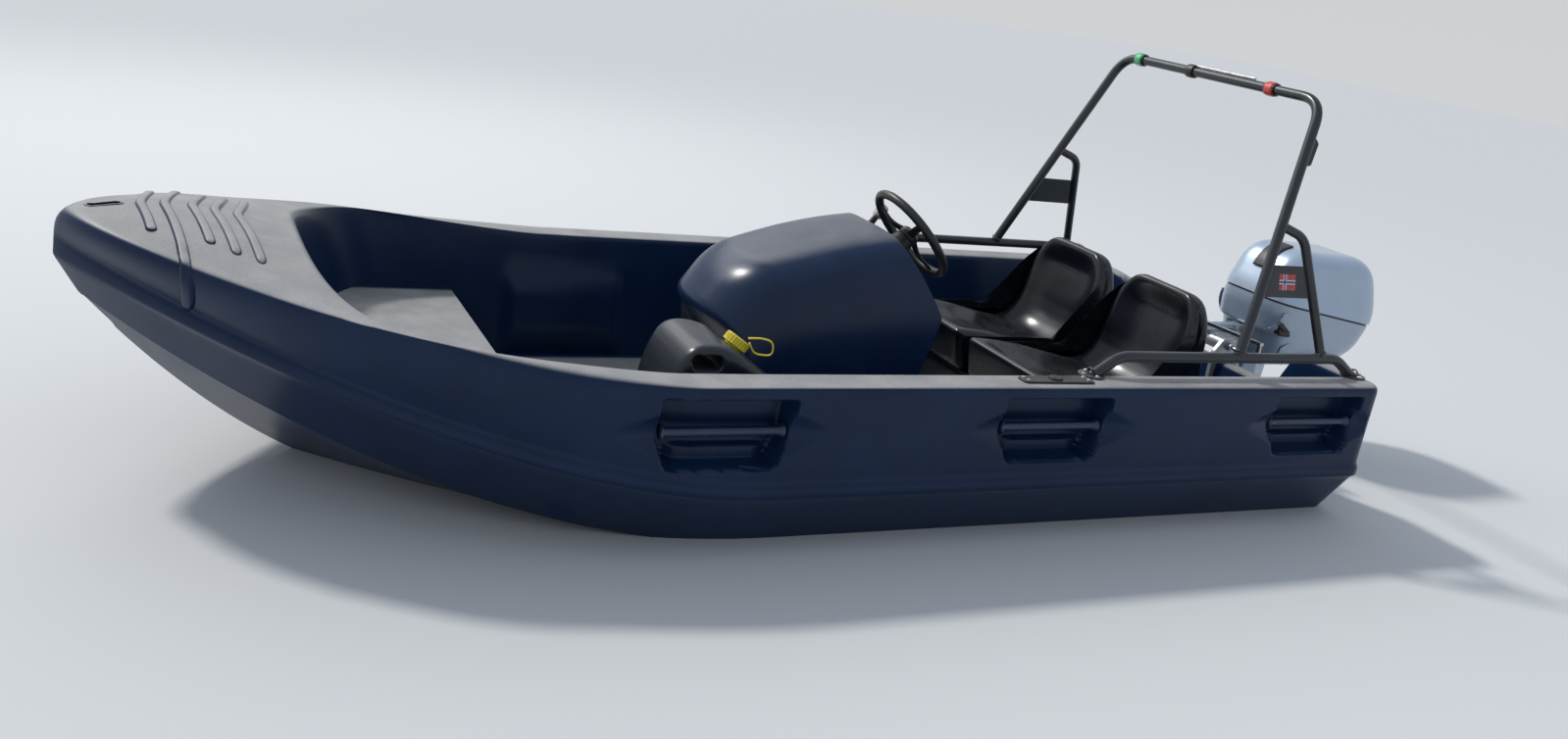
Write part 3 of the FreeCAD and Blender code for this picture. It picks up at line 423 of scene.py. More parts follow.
def make_hull():
    """Rows of the side grid, pushed in at the recesses, and rows of the transom grid, which share the side's edge
    points.
    """
    controls = side_controls(places)
    cross_run = np.sort(cross_shares)[1:]
    inward_run = 1 - cross_shares[1:]
    fullness = smoothstep((controls[6, :, 0:1] - 0.35) / 1.1)
    side_tall = controls[6, :, 2:3] - controls[5, :, 2:3]
    edge_round = 0.024 * (1 - fullness) + 0.92 * side_tall * fullness
    radii = list(RADII)
    radii[6] = edge_round
    side = rounded_section(controls[1:9], radii[1:9], RUNS[1:8], ARCS[1:9])
    bottom = controls[0] + (controls[1] - controls[0]) * cross_run[:-1, None, None]
    start_x = corner_x(cross_run[:-1])[:, None]
    tip = controls[1, -1, 0]
    share = ((controls[1, :, 0] - side_start) / (tip - side_start))[None, :]
    bottom[..., 0] = start_x + (tip - start_x) * share
    keel = controls[0:1].copy()
    inner = controls[8] + (controls[9] - controls[8]) * inward_run[:, None, None]
    grid = np.concatenate([keel, bottom, side, inner])
    low = len(keel) + len(bottom)
    x, y, z = grid[..., 0], grid[..., 1], grid[..., 2]
    edge_row = low + sum(len(RUNS[i]) for i in range(1, 6)) + sum(ARCS[2:6])
    wall_row = edge_row + ARCS[6] + len(RUNS[6]) + ARCS[7]
    topside = slice(low, edge_row + 1)
    y[topside] -= recess_depth(x[topside], z[topside]) * (y[topside] > 0.3)
    deck_row = edge_row + ARCS[6]
    lip_lift = crown_lift(controls[7, :, 0], controls[7, :, 1])
    for step, share in enumerate(RUNS[6][:-1], start=1):
        row = deck_row + step
        z[row] += crown_lift(x[row], y[row]) - share * lip_lift
    wall = slice(wall_row + 1, low + len(side))
    y[wall] -= inner_bulge(x[wall], z[wall])
    corner = controls[:, 0]
    cross_radii = [radius[:1] if isinstance(radius, np.ndarray) else radius for radius in radii]
    transom = rounded_section(transom_controls(corner, cross_shares), cross_radii[1:9], RUNS[1:8], ARCS[1:9])
    transom[0] = np.concatenate([grid[low:low + 1, 0], grid[low - 1::-1, 0][:len(cross_shares) - 1]])
    transom[-1] = grid[low + len(side) - 1:, 0]
    transom[:, 0] = grid[low:low + len(side), 0]
    transom[:, -1, 1] = 0
    return grid, transom


hull_grid, transom_grid = make_hull()
print("side grid", hull_grid.shape, "transom grid", transom_grid.shape)


def mirrored_grids(name, *grids):
    """A closed piece from grids of the port half and their mirror images."""
    return merged(name, [grid * [1, sign, 1] for grid in grids for sign in (1, -1)], 2e-5)


hull = mirrored_grids("hull_skin", hull_grid, transom_grid)

# %% [markdown]
# Many fittings are slabs cut from an outline, with soft edges as a moulding or a deburred plate has. One helper
# makes them all: the outline's points are drawn in along its inward normal by a quarter circle at each face.

# %% Soft slabs
def rounded_outline(corners, steps=6):
    """A closed outline through corners (u, v, radius), each bridged by a parabola, as an array of points."""
    corners = np.array([(*corner, 0.0)[:3] for corner in corners], float)
    points = []
    count = len(corners)
    for i in range(count):
        here, before, after = corners[i, :2], corners[i - 1, :2], corners[(i + 1) % count, :2]
        to_before, to_after = before - here, after - here
        length_before, length_after = np.linalg.norm(to_before), np.linalg.norm(to_after)
        reach = min(corners[i, 2], 0.48 * length_before, 0.48 * length_after)
        if reach == 0:
            points.append(here[None])
            continue
        enter, leave = here + to_before / length_before * reach, here + to_after / length_after * reach
        t = np.linspace(0, 1, steps + 1)[:, None]
        points.append((1 - t) ** 2 * enter + 2 * t * (1 - t) * here + t ** 2 * leave)
    return np.concatenate(points)


def dense(outline, spacing):
    """The closed outline again, with points at even steps along it."""
    loop = np.concatenate([outline, outline[:1]])
    length = np.concatenate([[0], np.cumsum(np.linalg.norm(np.diff(loop, axis=0), axis=1))])
    marks = np.linspace(0, length[-1], max(8, int(length[-1] / spacing)) + 1)[:-1]
    return np.stack([np.interp(marks, length, loop[:, axis]) for axis in (0, 1)], -1)


def outline_of(corners, spacing, steps=6):
    """A closed outline with rounded corners and its points about this far apart."""
    return dense(rounded_outline(corners, steps), spacing)


def inward_normals(outline):
    """Unit normals of a closed outline, turned to its middle by the sign of its area."""
    ahead = np.roll(outline, -1, axis=0) - np.roll(outline, 1, axis=0)
    ahead /= np.linalg.norm(ahead, axis=1, keepdims=True) + 1e-12
    following = np.roll(outline, -1, axis=0)
    area = np.sum(outline[:, 0] * following[:, 1] - following[:, 0] * outline[:, 1])
    return np.stack([-ahead[:, 1], ahead[:, 0]], -1) * np.sign(area)


def slab_points(outline, low, high, edge, rings=4, arc=4):
    """Loops (u, v, w): up one face's rounding, across the rim, down the other, with faces filled by shrinking loops."""
    normals = inward_normals(outline)
    middle = outline.mean(axis=0)
    turns = np.linspace(0, np.pi / 2, arc + 1)
    loops = []
    for turn in turns[::-1]:
        loops.append((outline + normals * edge * (1 - np.cos(turn)), low + edge * (1 - np.sin(turn))))
    for turn in turns:
        loops.append((outline + normals * edge * (1 - np.cos(turn)), high - edge * (1 - np.sin(turn))))
    first, last = loops[0], loops[-1]
    shares = np.arange(1, rings + 1) / rings
    caps_low = [(first[0] + (middle - first[0]) * share, first[1]) for share in shares]
    caps_high = [(last[0] + (middle - last[0]) * share, last[1]) for share in shares]
    loops = caps_low[::-1] + loops + caps_high
    return np.array([np.column_stack([loop, np.full(len(loop), level)]) for loop, level in loops])


def frame_xz(points):
    """Slab coordinates (u, v, w) as X, Z and Y: for outlines drawn from the side."""
    return points[..., [0, 2, 1]]


def frame_xy(points):
    """Slab coordinates as X, Y and Z: for outlines drawn from above."""
    return points


def soft_slab(name, corners, low, high, edge, frame_of, spacing=0.012, rings=4):
    return closed_grid(name, frame_of(slab_points(outline_of(corners, spacing), low, high, edge, rings)))


def dress(piece, body, slot_name, *nodes_replaced):
    """Every piece rides on its body, takes a slot of the record and may stand for a node of the model."""
    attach(piece, body)
    if nodes_replaced:
        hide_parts(*nodes_replaced)
    pieces_of.setdefault(slot_name, []).append(piece)
    return piece


pieces_of = {}
dress(hull, "boat", "hull_plastic", "hull")

# %% [markdown]
# Some fittings need more than a slab: seats, cowls and the fuel tank are deep mouldings whose long edges are rounded
# too. A pillow is a side outline carried across a width in many loops. Near both ends the outline is drawn in by a
# superellipse, and points on it may be pushed in to make a dish.

# %% Pillow shapes
def pillow_points(outline, half, edge, across=24, arc=9, rings=7, power=2.4):
    """Loops (u, v, w): w runs over the width, and the outline shrinks by edge * (1 - (1 - s^p)^(1/p)) near its ends."""
    normals = inward_normals(outline)
    middle = outline.mean(axis=0)
    s = np.sin(np.linspace(0, np.pi / 2, arc + 1))
    inset_end = edge * (1 - np.clip(1 - s ** power, 0, 1) ** (1 / power))
    flat = np.linspace(-(half - edge), half - edge, across + 1)
    levels = np.concatenate([-(half - edge + edge * s[:0:-1]), flat, half - edge + edge * s[1:]])
    insets = np.concatenate([inset_end[:0:-1], np.zeros(across + 1), inset_end[1:]])
    loops = outline[None] + normals[None] * insets[:, None, None]
    shares = (np.arange(1, rings + 1) / rings)[:, None, None]
    low_cap = loops[0] + (middle - loops[0]) * shares[::-1]
    high_cap = loops[-1] + (middle - loops[-1]) * shares
    loops = np.concatenate([low_cap, loops, high_cap])
    levels = np.concatenate([np.full(rings, levels[0]), levels, np.full(rings, levels[-1])])
    return np.concatenate([loops, np.broadcast_to(levels[:, None, None], loops.shape[:2] + (1,))], -1)


def put(points, origin, u, v, w):
    """Local coordinates (u, v, w) laid along three axes from an origin."""
    axes = np.array([u, v, w], float)
    return np.asarray(points) @ axes + np.array(origin, float)


# %% Helpers for cuts
def applied(piece):
    """Puts the result of a piece's modifiers into its mesh."""
    graph = bpy.context.evaluated_depsgraph_get()
    mesh = bpy.data.meshes.new_from_object(piece.evaluated_get(graph))
    piece.modifiers.clear()
    piece.data = mesh
    mesh.polygons.foreach_set("use_smooth", np.full(len(mesh.polygons), True))
    print(f"{piece.name}: {sum(len(face.vertices) - 2 for face in mesh.polygons)} triangles after its modifiers")
    return piece


def bored(piece, cutter, solver="EXACT"):
    """Cuts a helper shape out of a piece and deletes the helper."""
    boolean = piece.modifiers.new("bore", "BOOLEAN")
    boolean.operation, boolean.object, boolean.solver = "DIFFERENCE", cutter, solver
    applied(piece)
    bpy.data.objects.remove(cutter, do_unlink=True)
    return piece


def slab_from(name, outline, low, high, edge, frame_of):
    points = frame_of(slab_points(outline, low, high, edge))
    return closed_grid(name, points)


# %% [markdown]
# The nose has a slot for the bow line, right through the moulding, with a rolled lip. A boolean cuts it, and the edge
# between the old skin and the cut is kept sharp, because smooth shading would smear it.

# %% Bow slot
SLOT_MIDDLE, SLOT_HALF, SLOT_RADIUS = 1.676, 0.024, 0.0125


def slot_line(radius):
    """A closed outline of two half circles joined by straight sides."""
    turns = np.linspace(-np.pi / 2, np.pi / 2, 13)
    front = np.stack([SLOT_MIDDLE + SLOT_HALF + radius * np.cos(turns), radius * np.sin(turns)], -1)
    back = np.stack([SLOT_MIDDLE - SLOT_HALF - radius * np.cos(turns), -radius * np.sin(turns)], -1)
    return np.concatenate([front, back])


hull = bored(hull, slab_from("slot_cutter", slot_line(SLOT_RADIUS), 0.2, 0.75, 0.0, frame_xy), "MANIFOLD")
hull.data.set_sharp_from_angle(angle=math.radians(50))

# %% [markdown]
# Five raised ribs stiffen the foredeck. Rays from inside the bow find the skin, and each rib is a strip of points
# lifted off it along the skin's own normal, so it follows the crown and rolls over the edge where the deck does.

# %% Deck ribs
skin_tree = BVHTree.FromPolygons([vertex.co[:] for vertex in hull.data.vertices],
                                 [polygon.vertices[:] for polygon in hull.data.polygons])
RIBS = (
    # X at the centreline, X at the ends, turn of the ends from upright in degrees
    (1.600, 1.577, 46), (1.549, 1.500, 84), (1.489, 1.457, 54), (1.440, 1.404, 60), (1.388, 1.353, 64))
RIB_WIDTH, RIB_RISE = 0.026, 0.0060


def skin_point(x, turn):
    """The skin's point and outward normal met by a ray from the bow's inside, turned from upright about X."""
    direction = Vector((0, math.sin(turn), math.cos(turn)))
    place, normal, _, _ = skin_tree.ray_cast(Vector((x, 0, 0.42)), direction)
    return np.array(place), np.array(normal) * (1 if normal.dot(direction) > 0 else -1)


def rib_points(middle_x, end_x, end_turn):
    """Rows along the rib and columns across it; the height is a flat-topped bump that fades at the rounded ends."""
    turns = np.radians(np.linspace(-end_turn, end_turn, 96))
    share = np.abs(turns) / np.radians(end_turn)
    line_x = middle_x + (end_x - middle_x) * (np.sqrt(share ** 2 + 0.01) - 0.1) / 0.905
    ends = np.sqrt(np.clip(1 - (np.clip(share - 0.93, 0, 1) / 0.07) ** 2, 0, 1))
    across = np.array([-1.15, -0.95, -0.80, -0.62, -0.40, 0, 0.40, 0.62, 0.80, 0.95, 1.15])
    lift = np.array([-0.5, -0.05, 0.45, 0.86, 1.0, 1.0, 1.0, 0.86, 0.45, -0.05, -0.5])
    rows = []
    for k, turn in enumerate(turns):
        x = line_x[k] + across * RIB_WIDTH / 2 * max(ends[k], 0.02)
        hits = [skin_point(value, turn) for value in x]
        rows.append([place + normal * RIB_RISE * (lift[j] * ends[k] - 0.35 * (1 - ends[k]))
                     for j, (place, normal) in enumerate(hits)])
    top = np.array(rows)
    under = top[:, ::-1] - [0, 0, 0.006]
    return np.concatenate([top, under], 1)


for number, rib in enumerate(RIBS, start=1):
    dress(closed_grid(f"deck_rib_{number}", with_ends(rib_points(*rib))), "boat", "hull_plastic")
lip_route = dense(slot_line(SLOT_RADIUS + 0.0015), 0.003)
lip_round = np.linspace(0, 2 * np.pi, 12, endpoint=False)
lip_out = -inward_normals(lip_route)
lip_height = np.array([skin_tree.ray_cast(Vector((x, y * 1.25, 0.9)), Vector((0, 0, -1)))[0][2] for x, y in
                       (lip_route - [SLOT_MIDDLE, 0]) * 1.12 + [SLOT_MIDDLE, 0]])
lip = np.stack([
    lip_route[:, None, 0] + lip_out[:, None, 0] * 0.0030 * np.cos(lip_round),
    lip_route[:, None, 1] + lip_out[:, None, 1] * 0.0030 * np.cos(lip_round),
    lip_height[:, None] + 0.0024 * np.sin(lip_round)], -1)
lip_piece = clean(add_mesh("slot_lip", lip, grid_faces(*lip.shape[:2], close_rows=True, close_columns=True)))
dress(lip_piece, "boat", "hull_plastic")

# %% [markdown]
# The console is a bonnet: a rounded arch of superellipse sections that a sloping dash plane cuts off behind. The
# profile from the floor over the nose is the spine, and the section's exponent sets how square the shoulders are.

# %% Console shell
CONSOLE_BASE = SOLE_Z + 0.0005
CONSOLE_HALF = 0.285
DASH_TOP = np.array([-0.335, 0.690])
DASH_FOOT = np.array([-0.480, 0.470])
DASH_HEEL_X = -0.330
BONNET = (
    (-0.020, CONSOLE_BASE), (0.020, 0.220, 0.10), (0.212, 0.425, 0.030), (0.118, 0.562, 0.110),
    (-0.300, 0.688, 0.20), (-0.720, 0.700))


def open_profile(corners, spacing):
    """Points at even steps along an open profile whose inner corners are parabolas."""
    corners = [np.array((*corner, 0.0)[:3]) for corner in corners]
    points = [corners[0][None, :2]]
    for before, here, after in zip(corners, corners[1:], corners[2:]):
        to_before, to_after = before[:2] - here[:2], after[:2] - here[:2]
        length_before, length_after = np.linalg.norm(to_before), np.linalg.norm(to_after)
        reach = min(here[2], 0.48 * length_before, 0.48 * length_after)
        t = np.linspace(0, 1, 17)[:, None]
        enter, leave = here[:2] + to_before / length_before * reach, here[:2] + to_after / length_after * reach
        points.append((1 - t) ** 2 * enter + 2 * t * (1 - t) * here[:2] + t ** 2 * leave)
    points.append(corners[-1][None, :2])
    line = np.concatenate(points)
    length = np.concatenate([[0], np.cumsum(np.linalg.norm(np.diff(line, axis=0), axis=1))])
    marks = np.linspace(0, length[-1], int(length[-1] / spacing) + 1)
    return np.stack([np.interp(marks, length, line[:, axis]) for axis in (0, 1)], -1)


def dash_x(z):
    """The cut's X at a height: up the sloping dash, and forward again below it where the knees go."""
    up = (z - DASH_FOOT[1]) / (DASH_TOP[1] - DASH_FOOT[1])
    sloping = DASH_FOOT[0] + (DASH_TOP[0] - DASH_FOOT[0]) * up
    heel = DASH_FOOT[0] + (DASH_HEEL_X - DASH_FOOT[0]) * (DASH_FOOT[1] - z) / (DASH_FOOT[1] - CONSOLE_BASE)
    blend = 0.012
    return (sloping + heel + np.sqrt((sloping - heel) ** 2 + blend ** 2)) / 2


def bonnet_point(spine, turn):
    """A point of the bonnet: the spine lowered by |cos|^(2/3.1) and spread by |sin|^(2/4.5), the nose drawn back."""
    lift = np.abs(np.cos(turn)) ** (2 / 3.1)
    spread = np.sign(turn) * np.abs(np.sin(turn)) ** (2 / 4.5)
    ahead = smoothstep((spine[..., 0] + 0.12) / 0.33)
    x = spine[..., 0] - 0.12 * ahead * np.abs(spread) ** 2.2
    z = CONSOLE_BASE + (spine[..., 1] - CONSOLE_BASE) * lift
    return stack(x, CONSOLE_HALF * spread, z)


def make_console():
    """Bonnet grid from the nose to the dash rim for each turn, a rolled rim, and a ruled dash face behind it."""
    spine = open_profile(BONNET, 0.008)
    turns = np.radians(np.linspace(-90, 90, 121))
    shell = bonnet_point(spine[:, None, :] + 0 * turns[None, :, None], np.broadcast_to(turns, (len(spine), len(turns))))
    over = shell[..., 0] - dash_x(shell[..., 2])
    last = np.argmax(over < 0, axis=0)
    steps = np.linspace(0, 1, 140)
    columns = []
    for j in range(len(turns)):
        k = last[j]
        share = over[k - 1, j] / (over[k - 1, j] - over[k, j])
        place_along = (k - 1 + share) * steps
        columns.append(np.stack([np.interp(place_along, np.arange(len(spine)), shell[:, j, axis]) for axis in range(3)],
                                -1))
    skin = np.stack(columns, 1)
    rim = skin[-1]
    across = np.linspace(0, 1, 33)[:, None, None]
    half = len(turns) // 2 + 1
    face = rim[None, :half] + (rim[::-1][None, :half] - rim[None, :half]) * across
    under = skin[:, 0][None] + (skin[:, -1] - skin[:, 0])[None] * across
    front = skin[0][None, :half] + (skin[0][::-1][None, :half] - skin[0][None, :half]) * across
    shell_piece = merged("console_shell", (skin, face, under, front), 1e-4)
    edge_bevel = shell_piece.modifiers.new("rolled rim", "BEVEL")
    edge_bevel.width, edge_bevel.segments, edge_bevel.angle_limit = 0.007, 3, math.radians(35)
    return shell_piece


dress(make_console(), "boat", "hull_plastic", "console")

# %% [markdown]
# Each bucket seat is one moulding: a pan that dips to the rear and an upright, thick back with a rounded top. Its
# side outline is carried across the seat, the sitting side is dished, and the width narrows like an ellipse above
# the shoulders.

# %% Bucket seats
SEAT_HALF = 0.205
SEAT_OFFSET = 0.227
SEAT_OUTLINE = (
    (-0.745, 0.345, 0.022), (-0.895, 0.333, 0.10), (-1.225, 0.262, 0.12), (-1.297, 0.598, 0.020),
    (-1.345, 0.586, 0.030), (-1.339, 0.207, 0.04), (-0.768, 0.207, 0.03), (-0.749, 0.305, 0.020))
SHOULDER_Z, SEAT_TOP_Z, SEAT_DISH = 0.455, 0.598, 0.034
SIDES = (("port", 1), ("starboard", -1))


def make_seat(name, side):
    """The side outline carried across, whose sitting side sinks by SEAT_DISH * (1 - share^3.2)^1.5."""
    outline = outline_of(SEAT_OUTLINE, 0.009)
    points = pillow_points(outline, SEAT_HALF, 0.030, across=34, arc=7)
    steps = np.linalg.norm(np.diff(outline, axis=0, append=outline[:1]), axis=1)
    along = np.cumsum(steps) - steps
    seating = smoothstep((along - 0.02) / 0.09) * smoothstep((0.80 - along) / 0.10)
    share = np.clip(np.abs(points[..., 2]) / (SEAT_HALF - 0.028), 0, 1)
    dish = SEAT_DISH * seating[None, :] * (1 - share ** 3.2) ** 1.5
    on_skin = slice(7, -7)
    points[on_skin, :, :2] += (inward_normals(outline)[None] * dish[..., None])[on_skin]
    up = np.clip((points[..., 1] - SHOULDER_Z) / (SEAT_TOP_Z - SHOULDER_Z), 0, 1)
    points[..., 2] *= 1 - 0.56 * (1 - np.sqrt(1 - up ** 2)) - 0.03 * smoothstep((points[..., 1] - 0.30) / 0.16)
    points = frame_xz(points)
    points[..., 1] += side * SEAT_OFFSET
    return closed_grid(name, points)


for side_name, side in SIDES:
    dress(make_seat(f"seat_shell_{side_name}", side), "boat", "seat_plastic", f"seat_{side_name}")
BOX_OUTLINE = ((-0.805, 0.0605), (-1.315, 0.0605), (-1.305, 0.206, 0.02), (-0.795, 0.206, 0.02))
dress(soft_slab("seat_plinth", BOX_OUTLINE, -0.431, 0.431, 0.012, frame_xz), "boat", "seat_plastic", "seat_box")

# %% [markdown]
# The motor's cover is a helmet with a flat, slightly sloping top and square shoulders. One pillow makes the whole
# form, and a sloping plane parts it into the upper cowl, the lower pan and the dark gasket between them.

# %% Motor cowls
COWL_OUTLINE = (
    (-1.886, 0.404, 0.03), (-1.888, 0.520, 0.06), (-1.962, 0.693, 0.130), (-2.345, 0.676, 0.115),
    (-2.393, 0.500, 0.16), (-2.386, 0.430, 0.10), (-2.345, 0.330, 0.10), (-2.235, 0.270, 0.08),
    (-1.925, 0.270, 0.03), (-1.910, 0.400, 0.02))
COWL_HALF = 0.162
SEAM_FRONT, SEAM_BACK = np.array([-1.885, 0.520]), np.array([-2.390, 0.442])


def cowl_points(inset):
    """The pillow of the side outline, narrowed above and below its widest line and towards the front of the top."""
    outline = outline_of(COWL_OUTLINE, 0.008, 9)
    outline = outline + inward_normals(outline) * inset
    points = pillow_points(outline, COWL_HALF - inset, 0.085, across=16, arc=12, rings=8, power=2.2)
    x, z = points[..., 0], points[..., 1]
    above = np.clip((z - 0.47) / 0.22, 0, 1)
    below = np.clip((0.47 - z) / 0.20, 0, 1)
    front = np.clip((x + 2.10) / 0.20, 0, 1)
    points[..., 2] *= 1 - 0.10 * above ** 1.6 - 0.16 * below ** 1.5 - 0.14 * front ** 2 * (0.4 + 0.6 * above)
    return frame_xz(points)


def parted(piece, offset_low, offset_high):
    """Keeps what lies between two planes parallel to the seam, at these offsets above it, and closes the cuts."""
    run = SEAM_FRONT - SEAM_BACK
    normal = np.array([-run[1], 0, run[0]]) / np.linalg.norm(run)
    middle = np.array([(SEAM_FRONT + SEAM_BACK)[0] / 2, 0, (SEAM_FRONT + SEAM_BACK)[1] / 2])
    work = bmesh.new()
    work.from_mesh(piece.data)
    for offset, sign in ((offset_low, -1), (offset_high, 1)):
        if offset is None:
            continue
        geometry = work.verts[:] + work.edges[:] + work.faces[:]
        cut = bmesh.ops.bisect_plane(work, geom=geometry, dist=1e-6, plane_co=middle + normal * offset,
                                     plane_no=normal * sign, clear_outer=True)
        rim = [item for item in cut["geom_cut"] if isinstance(item, bmesh.types.BMEdge)]
        bmesh.ops.holes_fill(work, edges=rim, sides=0)
    bmesh.ops.recalc_face_normals(work, faces=work.faces)
    work.to_mesh(piece.data)
    work.free()
    piece.data.set_sharp_from_angle(angle=math.radians(40))
    return clean(piece)


def soften(piece, width, segments=3, angle=40):
    """Adds a bevel to the edges that are sharper than the angle in degrees."""
    bevel = piece.modifiers.new("soft edges", "BEVEL")
    bevel.width, bevel.segments, bevel.angle_limit = width, segments, math.radians(angle)
    return piece


cover = parted(closed_grid("cowl_cover", cowl_points(0.0)), 0.0035, None)
dress(soften(cover, 0.004), "engine", "cowl_silver", "cowl_upper")
pan = parted(closed_grid("cowl_pan", cowl_points(0.003)), None, -0.0035)
dress(soften(pan, 0.004), "engine", "leg_silver", "cowl_lower")
dress(parted(closed_grid("cowl_gasket", cowl_points(0.006)), -0.012, 0.012), "engine", "fitting_black")

# %% [markdown]
# A black catch wraps over the front of the cover. It is cut from the cover's own side outline: a stretch of that
# outline, thickened both ways, so that it lies on the curve wherever the curve goes.

# %% Cover catch
def band_on(outline, start, stop, proud, sunk):
    """A closed outline around a stretch of another: out by proud, back inside by sunk."""
    stretch = outline[start:stop]
    normals = inward_normals(outline)[start:stop]
    return np.concatenate([stretch - normals * proud, (stretch + normals * sunk)[::-1]])


cover_line = outline_of(COWL_OUTLINE, 0.008, 9)
front_rows = np.flatnonzero((cover_line[:, 1] > 0.600) & (cover_line[:, 0] > -2.035))
catch = slab_from("cover_catch", band_on(cover_line, front_rows[0], front_rows[-1], 0.007, 0.010), -0.034, 0.034,
                  0.0045, frame_xz)
dress(catch, "engine", "fitting_black")
dress(soft_slab("shift_plate", ((-1.990, 0.395, 0.015), (-1.925, 0.402, 0.015), (-1.925, 0.455, 0.015),
      (-1.990, 0.448, 0.015)), 0.120, 0.1500, 0.006, frame_xz), "engine", "fitting_black")
dress(soft_slab("shift_lever", ((-1.975, 0.415, 0.008), (-1.945, 0.418, 0.008), (-1.905, 0.445, 0.008),
      (-1.925, 0.452, 0.008)), 0.146, 0.158, 0.004, frame_xz, 0.006), "engine", "fitting_black")

# %% [markdown]
# The portable fuel tank is a blow moulding with a hand hole near its front. The hole is cut by a boolean, and a
# voxel remesh with some smoothing melts the cut edges together, as a moulding's thick plastic does.

# %% Fuel tank
TANK_OUTLINE = (
    (0.445, 0.0605, 0.03), (0.447, 0.355, 0.07), (0.400, 0.470, 0.045), (0.302, 0.470, 0.05),
    (0.130, 0.359, 0.045), (0.105, 0.265, 0.04), (0.105, 0.0605, 0.03))
TANK_MIDDLE, TANK_HALF = 0.419, 0.126
GRIP_OUTLINE = ((0.398, 0.447, 0.018), (0.318, 0.447, 0.018), (0.318, 0.409, 0.018), (0.392, 0.409, 0.018))


def melted(piece, voxel, smoothing):
    """The piece after a voxel remesh and a smoothing, applied to its mesh."""
    remesh = piece.modifiers.new("melt", "REMESH")
    remesh.mode, remesh.voxel_size, remesh.use_smooth_shade = "VOXEL", voxel, True
    smooth = piece.modifiers.new("settle", "SMOOTH")
    smooth.factor, smooth.iterations = 0.5, smoothing
    return applied(piece)


tank_grid = frame_xz(pillow_points(outline_of(TANK_OUTLINE, 0.010), TANK_HALF, 0.034, across=20, arc=7))
tank_grid[..., 1] += TANK_MIDDLE
groove_z = np.abs(tank_grid[..., 2] - 0.245)
tank_grid[..., 1] += (TANK_MIDDLE - tank_grid[..., 1]) * 0.035 * (1 - smoothstep((groove_z - 0.004) / 0.006))
tank = closed_grid("tank_shell", tank_grid)
grip = soft_slab("grip_cutter", GRIP_OUTLINE, TANK_MIDDLE - 0.16, TANK_MIDDLE + 0.16, 0.004, frame_xz, 0.006)
dress(melted(bored(tank, grip), 0.0042, 7), "boat", "tank_plastic", "fuel_tank")

# %% [markdown]
# Round parts are profiles of radius and height, turned about an axis. The tank's cap has grip ribs, which are a small
# cosine added to its radius.

# %% Turned parts
def turned_points(profile, turns=48, ribs=0, rib_depth=0.0, ribbed=(0, 0)):
    """Points (r cos a, r sin a, h) of a profile; between two heights the radius gains a cosine of the turn."""
    angle = np.linspace(0, 2 * np.pi, turns, endpoint=False)
    radius = np.broadcast_to(profile[:, 0, None], (len(profile), turns)).copy()
    height = np.broadcast_to(profile[:, 1, None], radius.shape)
    if ribs:
        inside = (height > ribbed[0]) & (height < ribbed[1])
        radius += inside * rib_depth * (np.cos(ribs * angle)[None, :] - 1)
    return np.stack([radius * np.cos(angle), radius * np.sin(angle), height], -1)


def turned_line(corners, spacing, turns=48, **ribs):
    """The profile through these corners, as (radius, height), turned about its axis."""
    return turned_points(open_profile(corners, spacing), turns, **ribs)


def across_axes(axis):
    """Two unit vectors square to an axis and to each other."""
    axis = np.array(axis, float) / np.linalg.norm(axis)
    helper = np.array([0.0, 1.0, 0.0]) if abs(axis[1]) < 0.8 else np.array([1.0, 0.0, 0.0])
    first = np.cross(helper, axis)
    first /= np.linalg.norm(first)
    return first, np.cross(axis, first), axis


def turned(name, corners, origin, axis, spacing=0.003, **ribs):
    """A closed turned part: its profile starts and ends on the axis."""
    points = turned_line(corners, spacing, **ribs)
    return closed_grid(name, put(points, origin, *across_axes(axis)))


CAP_AXIS = (-0.541, 0, 0.841)
CAP_FOOT = (0.2400, TANK_MIDDLE, 0.4300)
cap = turned("tank_cap", ((0, 0), (0.026, 0), (0.026, 0.006, 0.001), (0.0348, 0.006, 0.001), (0.0345, 0.0285, 0.004),
             (0.024, 0.030, 0.003), (0.022, 0.0262, 0.002), (0, 0.0262)), CAP_FOOT, CAP_AXIS, 0.0015,
             turns=192, ribs=24, rib_depth=0.0011, ribbed=(0.008, 0.026))
dress(cap, "boat", "yellow_plastic", "fuel_cap")
cap_side, cap_up, cap_axis = across_axes(CAP_AXIS)
bar = put(pillow_points(outline_of(((-0.021, 0.0255, 0.002), (0.021, 0.0255, 0.002), (0.021, 0.0302, 0.002),
          (-0.021, 0.0302, 0.002)), 0.002), 0.0045, 0.0015, across=2, arc=3, rings=2)[..., [0, 2, 1]],
          CAP_FOOT, cap_side, cap_up, cap_axis)
dress(closed_grid("cap_bar", bar), "boat", "yellow_plastic")

# %% [markdown]
# Tubes are routes carried by a circle. Every tube of the arch is bent in one plane, so the circle's two directions
# are the route's normal in that plane and the plane's own normal, and nothing twists.

# %% Tubes
def tube_points(route, radius, turns=24):
    """Rings (u, v, w) about a flat route; the first and last ring are points, which closes the ends."""
    ahead = np.gradient(route, axis=0)
    ahead /= np.linalg.norm(ahead, axis=1, keepdims=True)
    normal = np.stack([-ahead[:, 1], ahead[:, 0]], -1)
    angle = np.linspace(0, 2 * np.pi, turns, endpoint=False)
    size = np.broadcast_to(radius, len(route))[:, None]
    rings = np.concatenate([
        route[:, None] + normal[:, None] * (size * np.cos(angle))[..., None],
        (size * np.sin(angle))[..., None]], -1)
    ends = [np.broadcast_to(rings[k].mean(axis=0), (1, turns, 3)) for k in (0, -1)]
    return np.concatenate([ends[0], rings, ends[1]])


